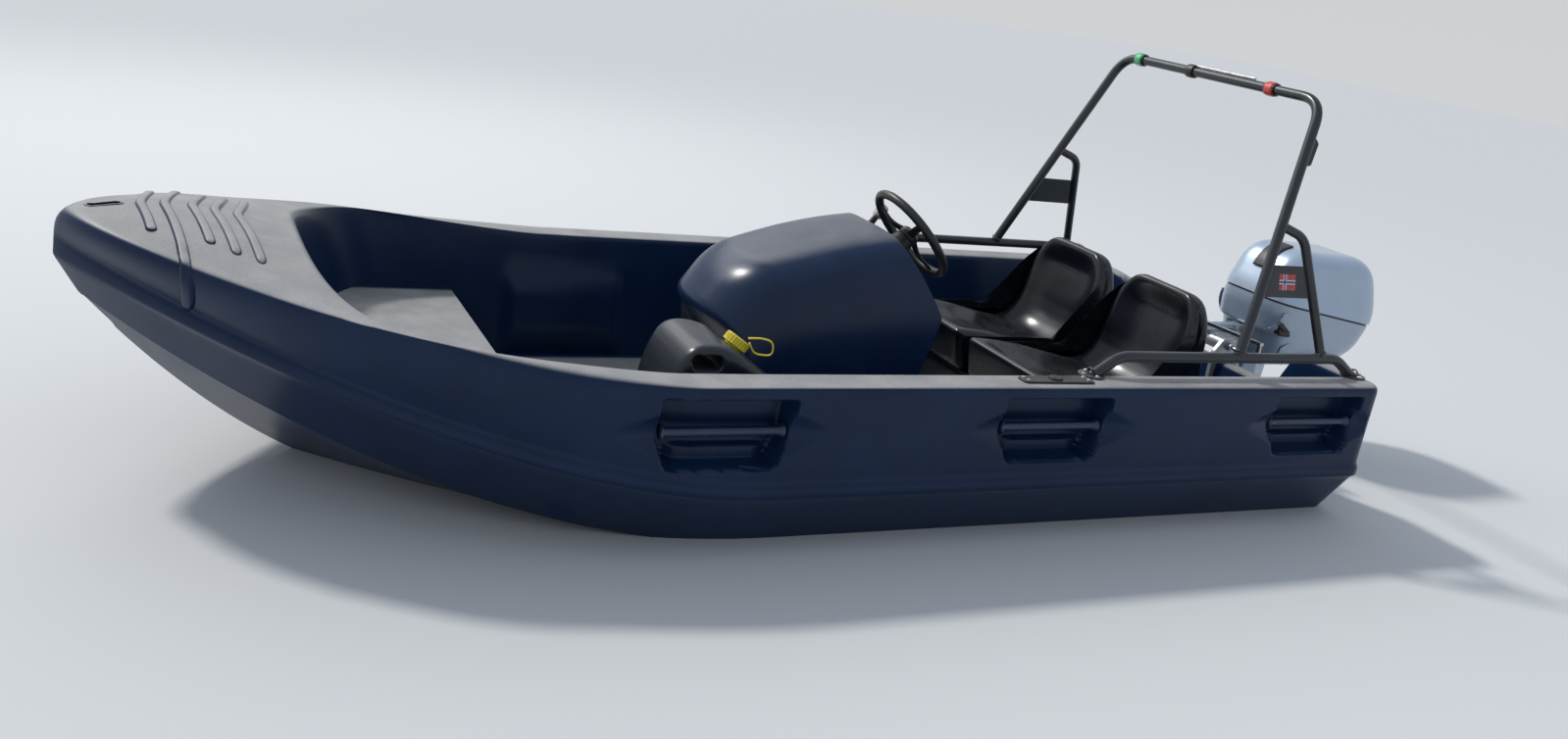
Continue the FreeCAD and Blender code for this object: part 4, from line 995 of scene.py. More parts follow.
def tube(name, corners, radius, origin, u, v, w, spacing=0.008, turns=24):
    """A tube piece whose route is given by its corners in the plane of u and v."""
    return closed_grid(name, put(tube_points(open_profile(corners, spacing), radius, turns), origin, u, v, w))


TETHER = ((0.0, 0.0), (0.004, -0.030, 0.02), (0.050, -0.046, 0.03), (0.060, -0.010, 0.02), (0.034, 0.004, 0.01),
          (0.000, 0.012))
dress(tube("cap_tether", TETHER, 0.0022, np.array(CAP_FOOT) + 0.018 * cap_axis + [-0.030, 0.012, 0.0],
           (-0.80, 0.45, 0.39), (0.25, -0.35, 0.90), (0.45, 0.82, -0.35), 0.003, 12), "boat", "yellow_plastic")

# %% [markdown]
# The arch stands on two gunwale rails. Its places repeat the mechanical model: rail feet, hoop rake, and the lean of
# the rear braces. Each foot is a round flange with button-head bolts, and a weld bead closes every joint.

# %% Arch tubes
TUBE_RADIUS, BOLT_RING = 0.0155, 0.0265
RAIL_Y, RAIL_BASE, RAIL_TOP = 0.63275, 0.435, 0.490
RAIL_MIDDLE, RAIL_REACH, RAIL_RUN = -1.236, 0.501, 0.088
HOOP_FOOT_X, HOOP_RAKE, HOOP_RISE, HOOP_HALF = -1.255, math.radians(20.2), 0.745, 0.456
HOOP_LENGTH = HOOP_RISE / math.cos(HOOP_RAKE)
LEAN = math.atan((RAIL_Y - HOOP_HALF) / HOOP_RISE)
X_AXIS, Y_AXIS, Z_AXIS = np.eye(3)
HOOP_UP = np.array([-math.sin(HOOP_RAKE), 0, math.cos(HOOP_RAKE)])


def joined(name, *parts):
    """Several point grids, each closed round its columns, as one piece."""
    return merged(name, parts, close_columns=True)


def weld(origin, axis, radius, size=0.0032, turns=60):
    """A ring of weld round a tube, whose height ripples with a cosine as a hand-laid bead does."""
    around = np.linspace(0, 2 * np.pi, 9)
    profile = np.stack([radius + size * np.cos(around), size * np.sin(around)], -1)
    points = turned_points(profile, turns)
    ripple = 1 + 0.16 * np.cos(18 * np.linspace(0, 2 * np.pi, turns, endpoint=False))
    points[..., :2] *= (1 + (ripple[None, :, None] - 1) * size / radius)
    return put(points, origin, *across_axes(axis))


def button(origin, radius=0.0062, tall=0.0042, axis=(0, 0, 1)):
    """A button-head bolt with a hexagon socket."""
    profile = open_profile(((0, -0.0002), (radius, 0), (radius, 0.001), (radius * 0.8, tall, 0.003),
                            (radius * 0.45, tall), (radius * 0.42, tall * 0.45), (0, tall * 0.45)), 0.0006)
    return put(turned_points(profile, 24), origin, *across_axes(axis))


def flange(x, y):
    """A round foot with a soft rim, standing on the gunwale."""
    profile = open_profile(((0, 0.0002), (0.0366, 0.0002), (0.0370, 0.0048, 0.0012), (0.0350, 0.0052, 0.001),
                            (0, 0.0052)), 0.0015)
    return put(turned_points(profile, 48), (x, y, RAIL_BASE), X_AXIS, Y_AXIS, Z_AXIS)


for side_name, side in SIDES:
    reach = RAIL_REACH
    route = open_profile((
        (-reach, -0.004), (-reach + RAIL_RUN, RAIL_TOP - RAIL_BASE, 0.030),
        (reach - RAIL_RUN, RAIL_TOP - RAIL_BASE, 0.030), (reach, -0.004)), 0.006)
    rail = put(tube_points(route, TUBE_RADIUS), (RAIL_MIDDLE, side * RAIL_Y, RAIL_BASE), X_AXIS, Z_AXIS, Y_AXIS)
    rail[..., 2] = np.maximum(rail[..., 2], RAIL_BASE + 0.001)
    feet, bolts = [], []
    for end in (-1, 1):
        foot_x = RAIL_MIDDLE + end * RAIL_REACH
        feet.append(flange(foot_x, side * RAIL_Y))
        bolts += [button((foot_x + BOLT_RING * math.cos(turn), side * RAIL_Y + BOLT_RING * math.sin(turn),
                          RAIL_BASE + 0.005)) for turn in np.radians([90, 270, 0 if end > 0 else 180])]
    slant = np.array([-1, 0, (RAIL_TOP - RAIL_BASE) / RAIL_RUN])
    welds = [weld((RAIL_MIDDLE + end * (RAIL_REACH - 0.004), side * RAIL_Y, RAIL_BASE + 0.007),
                  slant * [end, 1, 1], TUBE_RADIUS + 0.001) for end in (-1, 1)]
    dress(joined(f"rail_{side_name}", rail, *feet, *welds), "boat", "tube_paint", f"arch_rail_{side_name}")
    dress(joined(f"rail_bolts_{side_name}", *bolts), "boat", "steel_bright")

hoop_route = open_profile((
    (RAIL_Y, 0.004), (HOOP_HALF, HOOP_LENGTH, 0.078), (-HOOP_HALF, HOOP_LENGTH, 0.078), (-RAIL_Y, 0.004)), 0.008)
hoop = put(tube_points(hoop_route, TUBE_RADIUS), (HOOP_FOOT_X, 0, RAIL_TOP), Y_AXIS, HOOP_UP, np.cross(Y_AXIS, HOOP_UP))
hoop_lean = [np.array([HOOP_UP[0] * HOOP_LENGTH, -side * (RAIL_Y - HOOP_HALF), HOOP_UP[2] * HOOP_LENGTH])
             for side in (1, -1)]
hoop_welds = [weld((HOOP_FOOT_X - 0.006, side * (RAIL_Y - 0.004), RAIL_TOP + TUBE_RADIUS + 0.001), lean,
                   TUBE_RADIUS + 0.001) for side, lean in zip((1, -1), hoop_lean)]
dress(joined("hoop", hoop, *hoop_welds), "boat", "tube_paint", "arch_hoop")


def brace_axes(side):
    """Axes of a rear brace's plane: along the boat, up the lean, and square to both."""
    up = np.array([0, -side * math.sin(LEAN), math.cos(LEAN)])
    return X_AXIS, up, np.cross(X_AXIS, up)


BRACE_FOOT, BRACE_SLOPE, BRACE_RADIUS = -0.330, 0.275, 0.014
BRACE_BEND = (-0.232, 0.356, 0.034)
GUSSET_LOW, GUSSET_HIGH = 0.178, 0.272
BRACE_TOP = (-0.378 * math.tan(HOOP_RAKE), 0.388)
GUSSET_OUTLINE = (
    (-GUSSET_LOW * math.tan(HOOP_RAKE) - BRACE_RADIUS, GUSSET_LOW, 0.004),
    (-GUSSET_HIGH * math.tan(HOOP_RAKE) - BRACE_RADIUS, GUSSET_HIGH, 0.004),
    (BRACE_FOOT + GUSSET_HIGH * BRACE_SLOPE + 0.012, GUSSET_HIGH, 0.004),
    (BRACE_FOOT + GUSSET_LOW * BRACE_SLOPE + 0.012, GUSSET_LOW, 0.004))
for side_name, side in SIDES:
    axes = brace_axes(side)
    foot = (HOOP_FOOT_X, side * RAIL_Y, RAIL_TOP)
    brace = put(tube_points(open_profile(((BRACE_FOOT, 0.004), BRACE_BEND, BRACE_TOP), 0.006), BRACE_RADIUS), foot,
                *axes)
    brace_weld = weld(put((-0.326, 0.0165, 0), foot, *axes), put((BRACE_SLOPE, 1, 0), (0, 0, 0), *axes), 0.0150)
    dress(joined(f"brace_{side_name}", brace, brace_weld), "boat", "tube_paint", f"arch_brace_{side_name}")
    plate = put(slab_points(outline_of(GUSSET_OUTLINE, 0.006), -0.002, 0.002, 0.0008), foot, *axes)
    dress(closed_grid(f"gusset_{side_name}", plate), "boat", "tube_paint", f"arch_gusset_{side_name}")
FLAG_LINE = ((-0.205, 0.200, 0.002), (-0.140, 0.200, 0.002), (-0.140, 0.247, 0.002), (-0.205, 0.247, 0.002))
flag_place, flag_axes = (HOOP_FOOT_X, RAIL_Y, RAIL_TOP), brace_axes(1)
flag_side = 1 if flag_axes[2][1] > 0 else -1
flag_levels = sorted((flag_side * 0.0020, flag_side * 0.0024))
flag = closed_grid("gusset_sticker", put(slab_points(outline_of(FLAG_LINE, 0.004), *flag_levels, 0.0001),
                   flag_place, *flag_axes))
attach(flag, "boat")

# %% [markdown]
# The top bar carries two navigation lights, a bracket and a thin rod. Each light is a black collar with a ribbed
# lens, turned about the bar. A black clip holds the cables on the aft side of the port leg.

# %% Lights and clips
BAR_X, BAR_Z = HOOP_FOOT_X - HOOP_RISE * math.tan(HOOP_RAKE), RAIL_TOP + HOOP_RISE


def collar(name, y, corners, **ribs):
    """A part turned about the arch's top bar, at this Y."""
    profile = open_profile(corners, 0.0015)
    points = turned_points(profile, **ribs)
    return closed_grid(name, put(points, (BAR_X, y, BAR_Z), X_AXIS, Z_AXIS, Y_AXIS))


LENS = ((TUBE_RADIUS, -0.0165), (0.0205, -0.0165, 0.002), (0.0228, -0.012, 0.003), (0.0228, 0.012, 0.003),
        (0.0205, 0.0165, 0.002), (TUBE_RADIUS, 0.0165), (TUBE_RADIUS, -0.0165))
for colour, y in (("green", 0.086 - HOOP_HALF), ("red", HOOP_HALF - 0.206)):
    lamp = collar(f"lamp_{colour}_lens", y, LENS, turns=96, ribs=32, rib_depth=0.0005, ribbed=(-0.011, 0.011))
    dress(lamp, "boat", f"lamp_{colour}", f"nav_light_{colour}")
    for end in (-1, 1):
        rim = ((TUBE_RADIUS, -0.0035), (0.0195, -0.0035, 0.001), (0.0205, 0.0035, 0.001), (TUBE_RADIUS, 0.0035),
               (TUBE_RADIUS, -0.0035))
        dress(collar(f"lamp_{colour}_rim_{'a' if end < 0 else 'b'}", y + end * 0.0185, rim), "boat", "fitting_black")
dress(collar("rod_clamp", -0.110, ((TUBE_RADIUS, -0.0165), (0.0215, -0.0165, 0.003), (0.0228, 0.0, 0.006),
      (0.0215, 0.0165, 0.003), (TUBE_RADIUS, 0.0165), (TUBE_RADIUS, -0.0165))), "boat", "fitting_black", "pole_bracket")
ROD_Y = -0.093
dress(turned("thin_rod", ((0, 0), (0.0036, 0, 0.001), (0.0040, 0.004, 0.001), (0.0040, 0.262, 0.002),
      (0.0030, 0.270, 0.002), (0, 0.270)), (BAR_X, ROD_Y, BAR_Z + 0.0198), (0, 1, 0), 0.002, turns=20),
      "boat", "steel_bright", "light_pole")
LEG_DIRECTION = np.array([0, HOOP_HALF - RAIL_Y, HOOP_LENGTH])
LEG_DIRECTION = put(LEG_DIRECTION, (0, 0, 0), X_AXIS, Y_AXIS, HOOP_UP)
LEG_DIRECTION /= np.linalg.norm(LEG_DIRECTION)
clip_place = np.array([HOOP_FOOT_X, RAIL_Y, RAIL_TOP]) + LEG_DIRECTION * 0.655
aft = np.cross(Y_AXIS, LEG_DIRECTION)
aft *= -np.sign(aft[0]) / np.linalg.norm(aft)
clip_points = slab_points(outline_of(((0.012, -0.048, 0.006), (0.030, -0.040, 0.006), (0.034, 0.034, 0.008),
               (0.012, 0.044, 0.006)), 0.004), -0.009, 0.009, 0.003)
dress(closed_grid("cable_clip", put(clip_points, clip_place, aft, LEG_DIRECTION, np.cross(aft, LEG_DIRECTION))),
      "boat", "fitting_black")

# %% [markdown]
# The dash panel lies on the sloping dash. The steering column and the wheel follow the wheel's own joint instead: its
# place and axis come from the mechanical model, so the wheel turns true when it is posed.

# %% Helm
DASH_RUN = DASH_TOP - DASH_FOOT
DASH_UP = np.array([DASH_RUN[0], 0, DASH_RUN[1]]) / np.linalg.norm(DASH_RUN)
DASH_OUT = np.cross(DASH_UP, Y_AXIS)
DASH_MIDDLE = np.array([(DASH_TOP + DASH_FOOT)[0] / 2, 0, (DASH_TOP + DASH_FOOT)[1] / 2 + 0.008])
wheel_joint = next(joint for joint in frame["joints"] if joint["child"] == "wheel")
WHEEL_MIDDLE = np.array(wheel_joint["pos_m"], float)
WHEEL_OUT = np.array(wheel_joint["axis"], float)
WHEEL_OUT *= -np.sign(WHEEL_OUT[0])
WHEEL_UP = np.cross(Y_AXIS, WHEEL_OUT)
WHEEL_RADIUS, RIM_RADIUS = 0.1475, 0.0135
column_length = np.dot(WHEEL_MIDDLE - DASH_MIDDLE, DASH_OUT) / np.dot(WHEEL_OUT, DASH_OUT)
print("column", round(column_length, 3), "m from the dash to the wheel's middle")


def on_dash(name, points, up=0.0, across=0.0):
    """A piece in dash coordinates: up the slope, to port and out of it, from the middle of the dash."""
    shifted = np.asarray(points) + [up, across, 0]
    return closed_grid(name, put(shifted, DASH_MIDDLE, DASH_UP, Y_AXIS, DASH_OUT))


def on_wheel(points):
    """Wheel coordinates: up the wheel, to port and out along its axis, from the wheel's middle."""
    return put(points, WHEEL_MIDDLE, WHEEL_UP, Y_AXIS, WHEEL_OUT)


panel_line = outline_of(((-0.090, -0.150, 0.03), (0.090, -0.150, 0.03), (0.090, 0.150, 0.03),
                         (-0.090, 0.150, 0.03)), 0.006)
dress(on_dash("dash_plate", slab_points(panel_line, 0.0002, 0.0062, 0.0025)), "boat", "panel_black", "dash_panel")
CONE = ((0, -0.012 - column_length), (0.056, -0.012 - column_length), (0.053, 0.014 - column_length, 0.004),
        (0.047, 0.026 - column_length, 0.010), (0.0375, -0.060, 0.03), (0.0335, -0.032, 0.004),
        (0.0335, -0.026, 0.001), (0, -0.026))
cone = closed_grid("column_cone", on_wheel(turned_line(CONE, 0.002, 64)))
dress(cone, "boat", "fitting_black", "helm_boss")
rim_round = np.linspace(0, 2 * np.pi, 25)
rim_profile = np.stack([WHEEL_RADIUS + RIM_RADIUS * np.cos(rim_round), RIM_RADIUS * np.sin(rim_round)], -1)
rim_points = turned_points(rim_profile, 180)
spoke_line = outline_of(((0.020, -0.018), (0.060, -0.013, 0.03), (0.141, -0.011), (0.141, 0.011),
                         (0.060, 0.013, 0.03), (0.020, 0.018)), 0.004)
spoke_flat = slab_points(spoke_line, -0.006, 0.002, 0.0028)
spoke_flat[..., 2:3] -= 0.010 * np.sin(np.pi * np.clip(spoke_flat[..., 0:1] / 0.141, 0, 1)) ** 2
spokes = []
for angle in np.radians([180, 60, 300]):
    spokes.append(put(spoke_flat, (0, 0, 0), (math.cos(angle), math.sin(angle), 0),
                      (-math.sin(angle), math.cos(angle), 0), Z_AXIS))
HUB = ((0, -0.0245), (0.031, -0.0245, 0.001), (0.033, -0.019, 0.002), (0.033, -0.001, 0.006), (0.024, 0.0065, 0.004),
       (0.020, 0.0055, 0.001), (0, 0.0060))
hub = turned_line(HUB, 0.0015, 48)
dress(joined("helm_wheel", *(on_wheel(part) for part in (rim_points, *spokes, hub))), "wheel", "wheel_black",
      "steering_wheel")
GAUGE = ((0, 0.006), (0.030, 0.006), (0.030, 0.012, 0.002), (0.026, 0.013, 0.001), (0.025, 0.009), (0, 0.009))
dress(on_dash("dash_gauge", turned_line(GAUGE, 0.0015, 64), 0.045, 0.096), "boat", "steel_bright")
rocker_line = outline_of(((-0.014, -0.009, 0.003), (0.014, -0.009, 0.003), (0.014, 0.009, 0.003),
                          (-0.014, 0.009, 0.003)), 0.002)
for number, across in enumerate((0.060, 0.088, 0.116)):
    rocker = slab_points(rocker_line, 0.006, 0.0115, 0.002)
    rocker[..., 2] += 0.10 * rocker[..., 0] * (rocker[..., 2] > 0.008)
    dress(on_dash(f"rocker_{number}", rocker, -0.050, across), "boat", "fitting_black")
KEY = ((0, 0.006), (0.013, 0.006), (0.013, 0.010, 0.002), (0.008, 0.011), (0, 0.011))
dress(on_dash("key_switch", turned_line(KEY, 0.001, 32), 0.040, -0.122), "boat", "steel_bright")

# %% [markdown]
# The control box hangs on the console's starboard flank on a thin mounting plate. Its lever leans aft, beside the
# wheel, and ends in a pale knob.

# %% Control box
BOX_WALL_Y, BOX_FACE_Y = -0.2855, -0.3465
BOX_SIDE = ((-0.560, 0.447, 0.022), (-0.410, 0.447, 0.022), (-0.410, 0.543, 0.045), (-0.560, 0.543, 0.030))
dress(soft_slab("control_box", BOX_SIDE, BOX_FACE_Y, BOX_WALL_Y, 0.010, frame_xz, 0.006), "boat", "fitting_black",
      "throttle_box")
PLATE_SIDE = ((-0.470, 0.452, 0.008), (-0.385, 0.452, 0.008), (-0.385, 0.538, 0.008), (-0.440, 0.538, 0.008))
dress(soft_slab("box_plate", PLATE_SIDE, -0.2875, -0.2800, 0.001, frame_xz, 0.006), "boat", "bracket_grey")
PIVOT = np.array([-0.490, BOX_FACE_Y, 0.500])
LEVER_LEAN = math.radians(-34)
LEVER_UP = np.array([math.sin(LEVER_LEAN), 0, math.cos(LEVER_LEAN)])
LEVER_AHEAD = np.array([LEVER_UP[2], 0, -LEVER_UP[0]])
LEVER_LINE = ((-0.022, -0.022, 0.022), (0.022, -0.022, 0.022), (0.013, 0.060, 0.03), (0.009, 0.165, 0.01),
              (-0.009, 0.165, 0.01), (-0.013, 0.060, 0.03))
lever = slab_points(outline_of(LEVER_LINE, 0.005), 0.0, 0.013, 0.004)
dress(closed_grid("lever_arm", put(lever, PIVOT, LEVER_AHEAD, LEVER_UP, -Y_AXIS)), "boat", "fitting_black")
KNOB_LINE = ((-0.014, 0.140, 0.012), (0.014, 0.140, 0.012), (0.018, 0.182, 0.016), (0.012, 0.192, 0.012),
             (-0.012, 0.192, 0.012), (-0.018, 0.182, 0.016))
knob = put(pillow_points(outline_of(KNOB_LINE, 0.003), 0.013, 0.009, across=3, arc=5, rings=3),
           PIVOT - 0.006 * Y_AXIS, LEVER_AHEAD, LEVER_UP, -Y_AXIS)
dress(closed_grid("lever_knob", knob), "boat", "steel_bright")
HUB_CAP = ((0, 0), (0.034, 0), (0.033, 0.006, 0.004), (0.020, 0.009, 0.004), (0, 0.010))
hub_cap = put(turned_line(HUB_CAP, 0.0015, 48), PIVOT, LEVER_AHEAD, LEVER_UP, -Y_AXIS)
dress(closed_grid("lever_hub", hub_cap), "boat", "fitting_black")

# %% [markdown]
# Each side recess has a round bar to hold, which swells where it runs into the moulding. On the gunwales two plates
# hold the rowlock sockets under their stoppers.

# %% Grab bars and rowlock plates
BAR_Y, BAR_HEIGHT, BAR_RADIUS, BAR_HALF = 0.689, 0.315, 0.0128, 0.156
ROWLOCK_X, ROWLOCK_Y = -0.585, 0.6735
for name, centre in zip(("fore", "mid", "aft"), RECESS_X):
    for side_name, side in SIDES:
        route = np.stack([np.linspace(-BAR_HALF, BAR_HALF, 60), np.zeros(60)], -1)
        swell = BAR_RADIUS + 0.009 * np.clip((np.abs(route[:, 0]) - BAR_HALF + 0.022) / 0.022, 0, 1) ** 2.5
        grid = put(tube_points(route, np.minimum(swell, 0.0205), 24), (centre, side * BAR_Y, BAR_HEIGHT), X_AXIS,
                   Y_AXIS, Z_AXIS)
        dress(closed_grid(f"hand_bar_{side_name}_{name}", grid), "boat", "tube_paint", f"grab_bar_{side_name}_{name}")
for side_name, side in SIDES:
    plate_line = outline_of(((-0.700, -0.028, 0.012), (-0.475, -0.022, 0.012), (-0.475, 0.022, 0.012),
                             (-0.700, 0.028, 0.012)), 0.006)
    plate_points = slab_points(plate_line, 0.4352, 0.4408, 0.0022) + [0, side * ROWLOCK_Y, 0]
    plate = closed_grid(f"rowlock_plate_{side_name}", plate_points)
    dress(plate, "boat", "fitting_black", f"rowlock_pad_{side_name}")
    stopper = open_profile(((0, 0.4405), (0.0188, 0.4405), (0.0188, 0.4450, 0.0015), (0.015, 0.4468, 0.001),
                            (0.006, 0.4455, 0.003), (0, 0.4455)), 0.001)
    stopper_points = put(turned_points(stopper, 40), (ROWLOCK_X, side * ROWLOCK_Y, 0), X_AXIS, Y_AXIS, Z_AXIS)
    dress(closed_grid(f"rowlock_stopper_{side_name}", stopper_points), "boat", "fitting_black")
    bolts = [button((x, side * (ROWLOCK_Y + y), 0.4406), 0.0055, 0.0034) for x in (-0.685, -0.490)
             for y in (-0.011, 0.011)]
    dress(joined(f"rowlock_bolts_{side_name}", *bolts), "boat", "steel_bright")

# %% [markdown]
# Below the water the motor has a slim leg, a torpedo with a fin, and a three-bladed propeller. Each blade is a grid of
# radius and chord: the chord swells and shrinks like a leaf, and its pitch angle falls with the radius, so that every
# part of the blade advances by the same distance in a turn.

# %% Propeller and gearcase
PROP_Z, PROP_X = -0.300, -2.2405
BLADE_RADIUS, BLADE_ROOT, BLADE_PITCH = 0.1155, 0.024, 0.060


def blade_points(number, rows=28, columns=25):
    """A leaf: the chord is 44 mm plus a 48 mm sine bump, the pitch angle atan(pitch / radius), an ellipse across."""
    share = np.linspace(0, 1, rows)[:, None]
    radius = BLADE_ROOT + (BLADE_RADIUS - BLADE_ROOT) * (1 - (1 - share) ** 1.25)
    chord = 0.044 + 0.048 * np.sin(np.pi * np.clip(share * 0.92, 0, 1)) ** 0.8
    chord = chord * np.sqrt(np.clip(1 - (np.clip(share - 0.55, 0, 1) / 0.452) ** 2.4, 0, 1))
    thick = 0.0072 * (1 - 0.70 * share) * np.clip(chord / 0.03, 0, 1)
    around = np.linspace(0, 2 * np.pi, 2 * columns, endpoint=False)[None, :]
    along, off = chord / 2 * np.cos(around), thick / 2 * np.sin(around)
    pitch = np.arctan2(BLADE_PITCH, radius)
    ahead = along * np.sin(pitch) + off * np.cos(pitch)
    swing = along * np.cos(pitch) - off * np.sin(pitch) + 0.010 * share ** 2
    angle = swing / radius + np.radians(120 * number)
    x = ahead - 0.012 * share
    return np.stack(np.broadcast_arrays(PROP_X + x, -radius * np.sin(angle), PROP_Z + radius * np.cos(angle)), -1)


blades = [with_ends(blade_points(number)) for number in range(3)]
hub_profile = open_profile(((0, -0.0345), (0.024, -0.0345), (0.0320, -0.028, 0.004), (0.0334, 0.0335, 0.004),
                            (0, 0.0343)), 0.003)
prop_hub = put(turned_points(hub_profile, 48), (PROP_X, 0, PROP_Z), Y_AXIS, Z_AXIS, X_AXIS)
dress(joined("prop_blades", prop_hub, *blades), "prop", "blade_black", "propeller")
TORPEDO = ((0, 0.0), (0.016, 0.004, 0.012), (0.0435, 0.075, 0.05), (0.0440, 0.200, 0.06), (0.0338, 0.2990, 0.01),
           (0, 0.2990))
torpedo = put(turned_line(TORPEDO, 0.006, 64), (-1.905, 0, PROP_Z), Y_AXIS, Z_AXIS, -X_AXIS)


def fin_points(rows, power=0.62):
    """A streamlined fin: each row is (z, front x, back x, half width), and the section is sin(pi s^0.62)^0.8."""
    rows = np.array(rows)
    level = np.linspace(0, 1, 40)
    z, front, back, half = (np.interp(level, np.linspace(0, 1, len(rows)), rows[:, k])[:, None] for k in range(4))
    turn = np.linspace(0, 2 * np.pi, 56, endpoint=False)[None, :]
    s = (1 - np.cos(turn)) / 2
    side = np.sign(np.sin(turn)) * np.abs(np.sin(np.pi * s ** power)) ** 0.8
    return with_ends(np.stack(np.broadcast_arrays(front + (back - front) * s, half * side, z), -1))


strut = fin_points(((-0.1515, -1.917, -2.047, 0.026), (-0.20, -1.917, -2.075, 0.020), (-0.25, -1.918, -2.090, 0.018),
                    (-0.30, -1.920, -2.104, 0.018)))
skeg = fin_points(((-0.30, -1.935, -2.105, 0.016), (-0.36, -1.960, -2.112, 0.011), (-0.41, -2.000, -2.121, 0.008),
                   (-0.4495, -2.062, -2.130, 0.006)))
plate_line = outline_of(((-1.895, -0.030, 0.03), (-1.895, 0.030, 0.03), (-2.025, 0.084, 0.09),
                         (-2.190, 0.078, 0.05), (-2.190, -0.078, 0.05), (-2.025, -0.084, 0.09)), 0.008)
plate = slab_points(plate_line, -0.159, -0.1503, 0.003)
dress(joined("torpedo_and_fins", torpedo, strut, skeg, plate), "engine", "leg_silver", "gearcase")

# %% [markdown]
# Every finish is built from the same small effects, each a node group with inputs of its own. Grain gives a fine
# height and a slow change of shade. Scuffs gives thin scratches and rubbed patches. Dust and sheen paints a pale
# colour where a surface faces up: dust on most finishes, and on the hull and the console mostly a painted sheen that
# stands in for the sky's reflection on their tops. Wear finds convex edges, where handling polishes or bares the
# surface.

# %% Node groups
def new_group(name, inputs, outputs):
    """A shader node group with float inputs (name, default) and float outputs."""
    group = bpy.data.node_groups.new(name, "ShaderNodeTree")
    for label, value in inputs:
        socket = group.interface.new_socket(name=label, in_out="INPUT", socket_type="NodeSocketFloat")
        socket.default_value = value
    for label in outputs:
        group.interface.new_socket(name=label, in_out="OUTPUT", socket_type="NodeSocketFloat")
    return group, group.nodes.new("NodeGroupInput"), group.nodes.new("NodeGroupOutput")


def add_node(tree, kind, settings=None, **sockets):
    """A node with its properties and socket values; a socket value that is a socket is linked."""
    node = tree.nodes.new(kind)
    for label, value in (settings or {}).items():
        setattr(node, label, value)
    for label, value in sockets.items():
        key = int(label[1:]) if label[0] == "i" and label[1:].isdigit() else label.replace("_", " ")
        if isinstance(value, bpy.types.NodeSocket):
            tree.links.new(value, node.inputs[key])
        else:
            node.inputs[key].default_value = value
    return node


def new_material(name):
    """A material with nodes: the material, its node tree and its Principled shader."""
    material = bpy.data.materials.new(name)
    material.use_nodes = True
    return material, material.node_tree, material.node_tree.nodes["Principled BSDF"]


def maths(tree, operation, first, second=0.0, clamp=False):
    return add_node(tree, "ShaderNodeMath", {"operation": operation, "use_clamp": clamp}, i0=first,
                    i1=second).outputs[0]


def times(tree, first, second, clamp=False):
    """The product of two values; either may be a socket."""
    return maths(tree, "MULTIPLY", first, second, clamp)


def plus(tree, first, second, clamp=False):
    """The sum of two values; either may be a socket."""
    return maths(tree, "ADD", first, second, clamp)


def eased(tree, value, low, high):
    """A smooth rise from 0 to 1 between two levels."""
    node = add_node(tree, "ShaderNodeMapRange", {"interpolation_type": "SMOOTHSTEP"}, i0=value, i1=low, i2=high)
    return node.outputs[0]


def noise(tree, vector, scale, detail=3.0, rough=0.55, distortion=0.0):
    return add_node(tree, "ShaderNodeTexNoise", None, Vector=vector, Scale=scale, Detail=detail, Roughness=rough,
                    Distortion=distortion).outputs["Fac"]


def object_place(tree):
    return add_node(tree, "ShaderNodeTexCoord").outputs["Object"]


def stretched(tree, vector, scale):
    return add_node(tree, "ShaderNodeMapping", None, Vector=vector, Scale=scale).outputs[0]


def build_grain():
    """Height: fine pebbles plus finer noise. Shade: a slow noise around 0.5."""
    group, source, sink = new_group("moulded grain", (("Pebble", 420.0), ("Cloud", 3.0)), ("Height", "Shade"))
    place = object_place(group)
    pebbles = add_node(group, "ShaderNodeTexVoronoi", {"feature": "SMOOTH_F1"}, Vector=place, Scale=source.outputs[0])
    fine = noise(group, place, 900.0, 2.0)
    height = plus(group, times(group, pebbles.outputs["Distance"], 0.7), times(group, fine, 0.3))
    group.links.new(height, sink.inputs["Height"])
    group.links.new(noise(group, place, source.outputs[1], 5.0, 0.6), sink.inputs["Shade"])
    return group


def build_scuffs():
    """Thin scratches: two noises stretched 60 to 1 in crossing directions, kept where they pass a high level."""
    group, source, sink = new_group("scuffs", (("Amount", 0.5), ("Size", 1.0)), ("Scratch", "Rub"))
    place = object_place(group)
    sized = add_node(group, "ShaderNodeVectorMath", {"operation": "SCALE"}, i0=place,
                     Scale=source.outputs["Size"]).outputs[0]
    lines = []
    for turn, scale in (((0.2, 0.1, 0.5), (4, 240, 240)), ((-0.3, 0.4, -0.9), (260, 5, 260)),
                        ((0.9, 0.2, 0.3), (220, 240, 6))):
        mapped = add_node(group, "ShaderNodeMapping", None, Vector=sized, Rotation=turn, Scale=scale).outputs[0]
        lines.append(eased(group, noise(group, mapped, 1.0, 2.0), 0.70, 0.76))
    patch = eased(group, noise(group, sized, 7.0, 4.0), 0.50, 0.66)
    total = maths(group, "MAXIMUM", maths(group, "MAXIMUM", lines[0], lines[1]), lines[2])
    scratch = times(group, times(group, total, patch), source.outputs["Amount"])
    group.links.new(scratch, sink.inputs["Scratch"])
    group.links.new(times(group, patch, source.outputs["Amount"]), sink.inputs["Rub"])
    return group


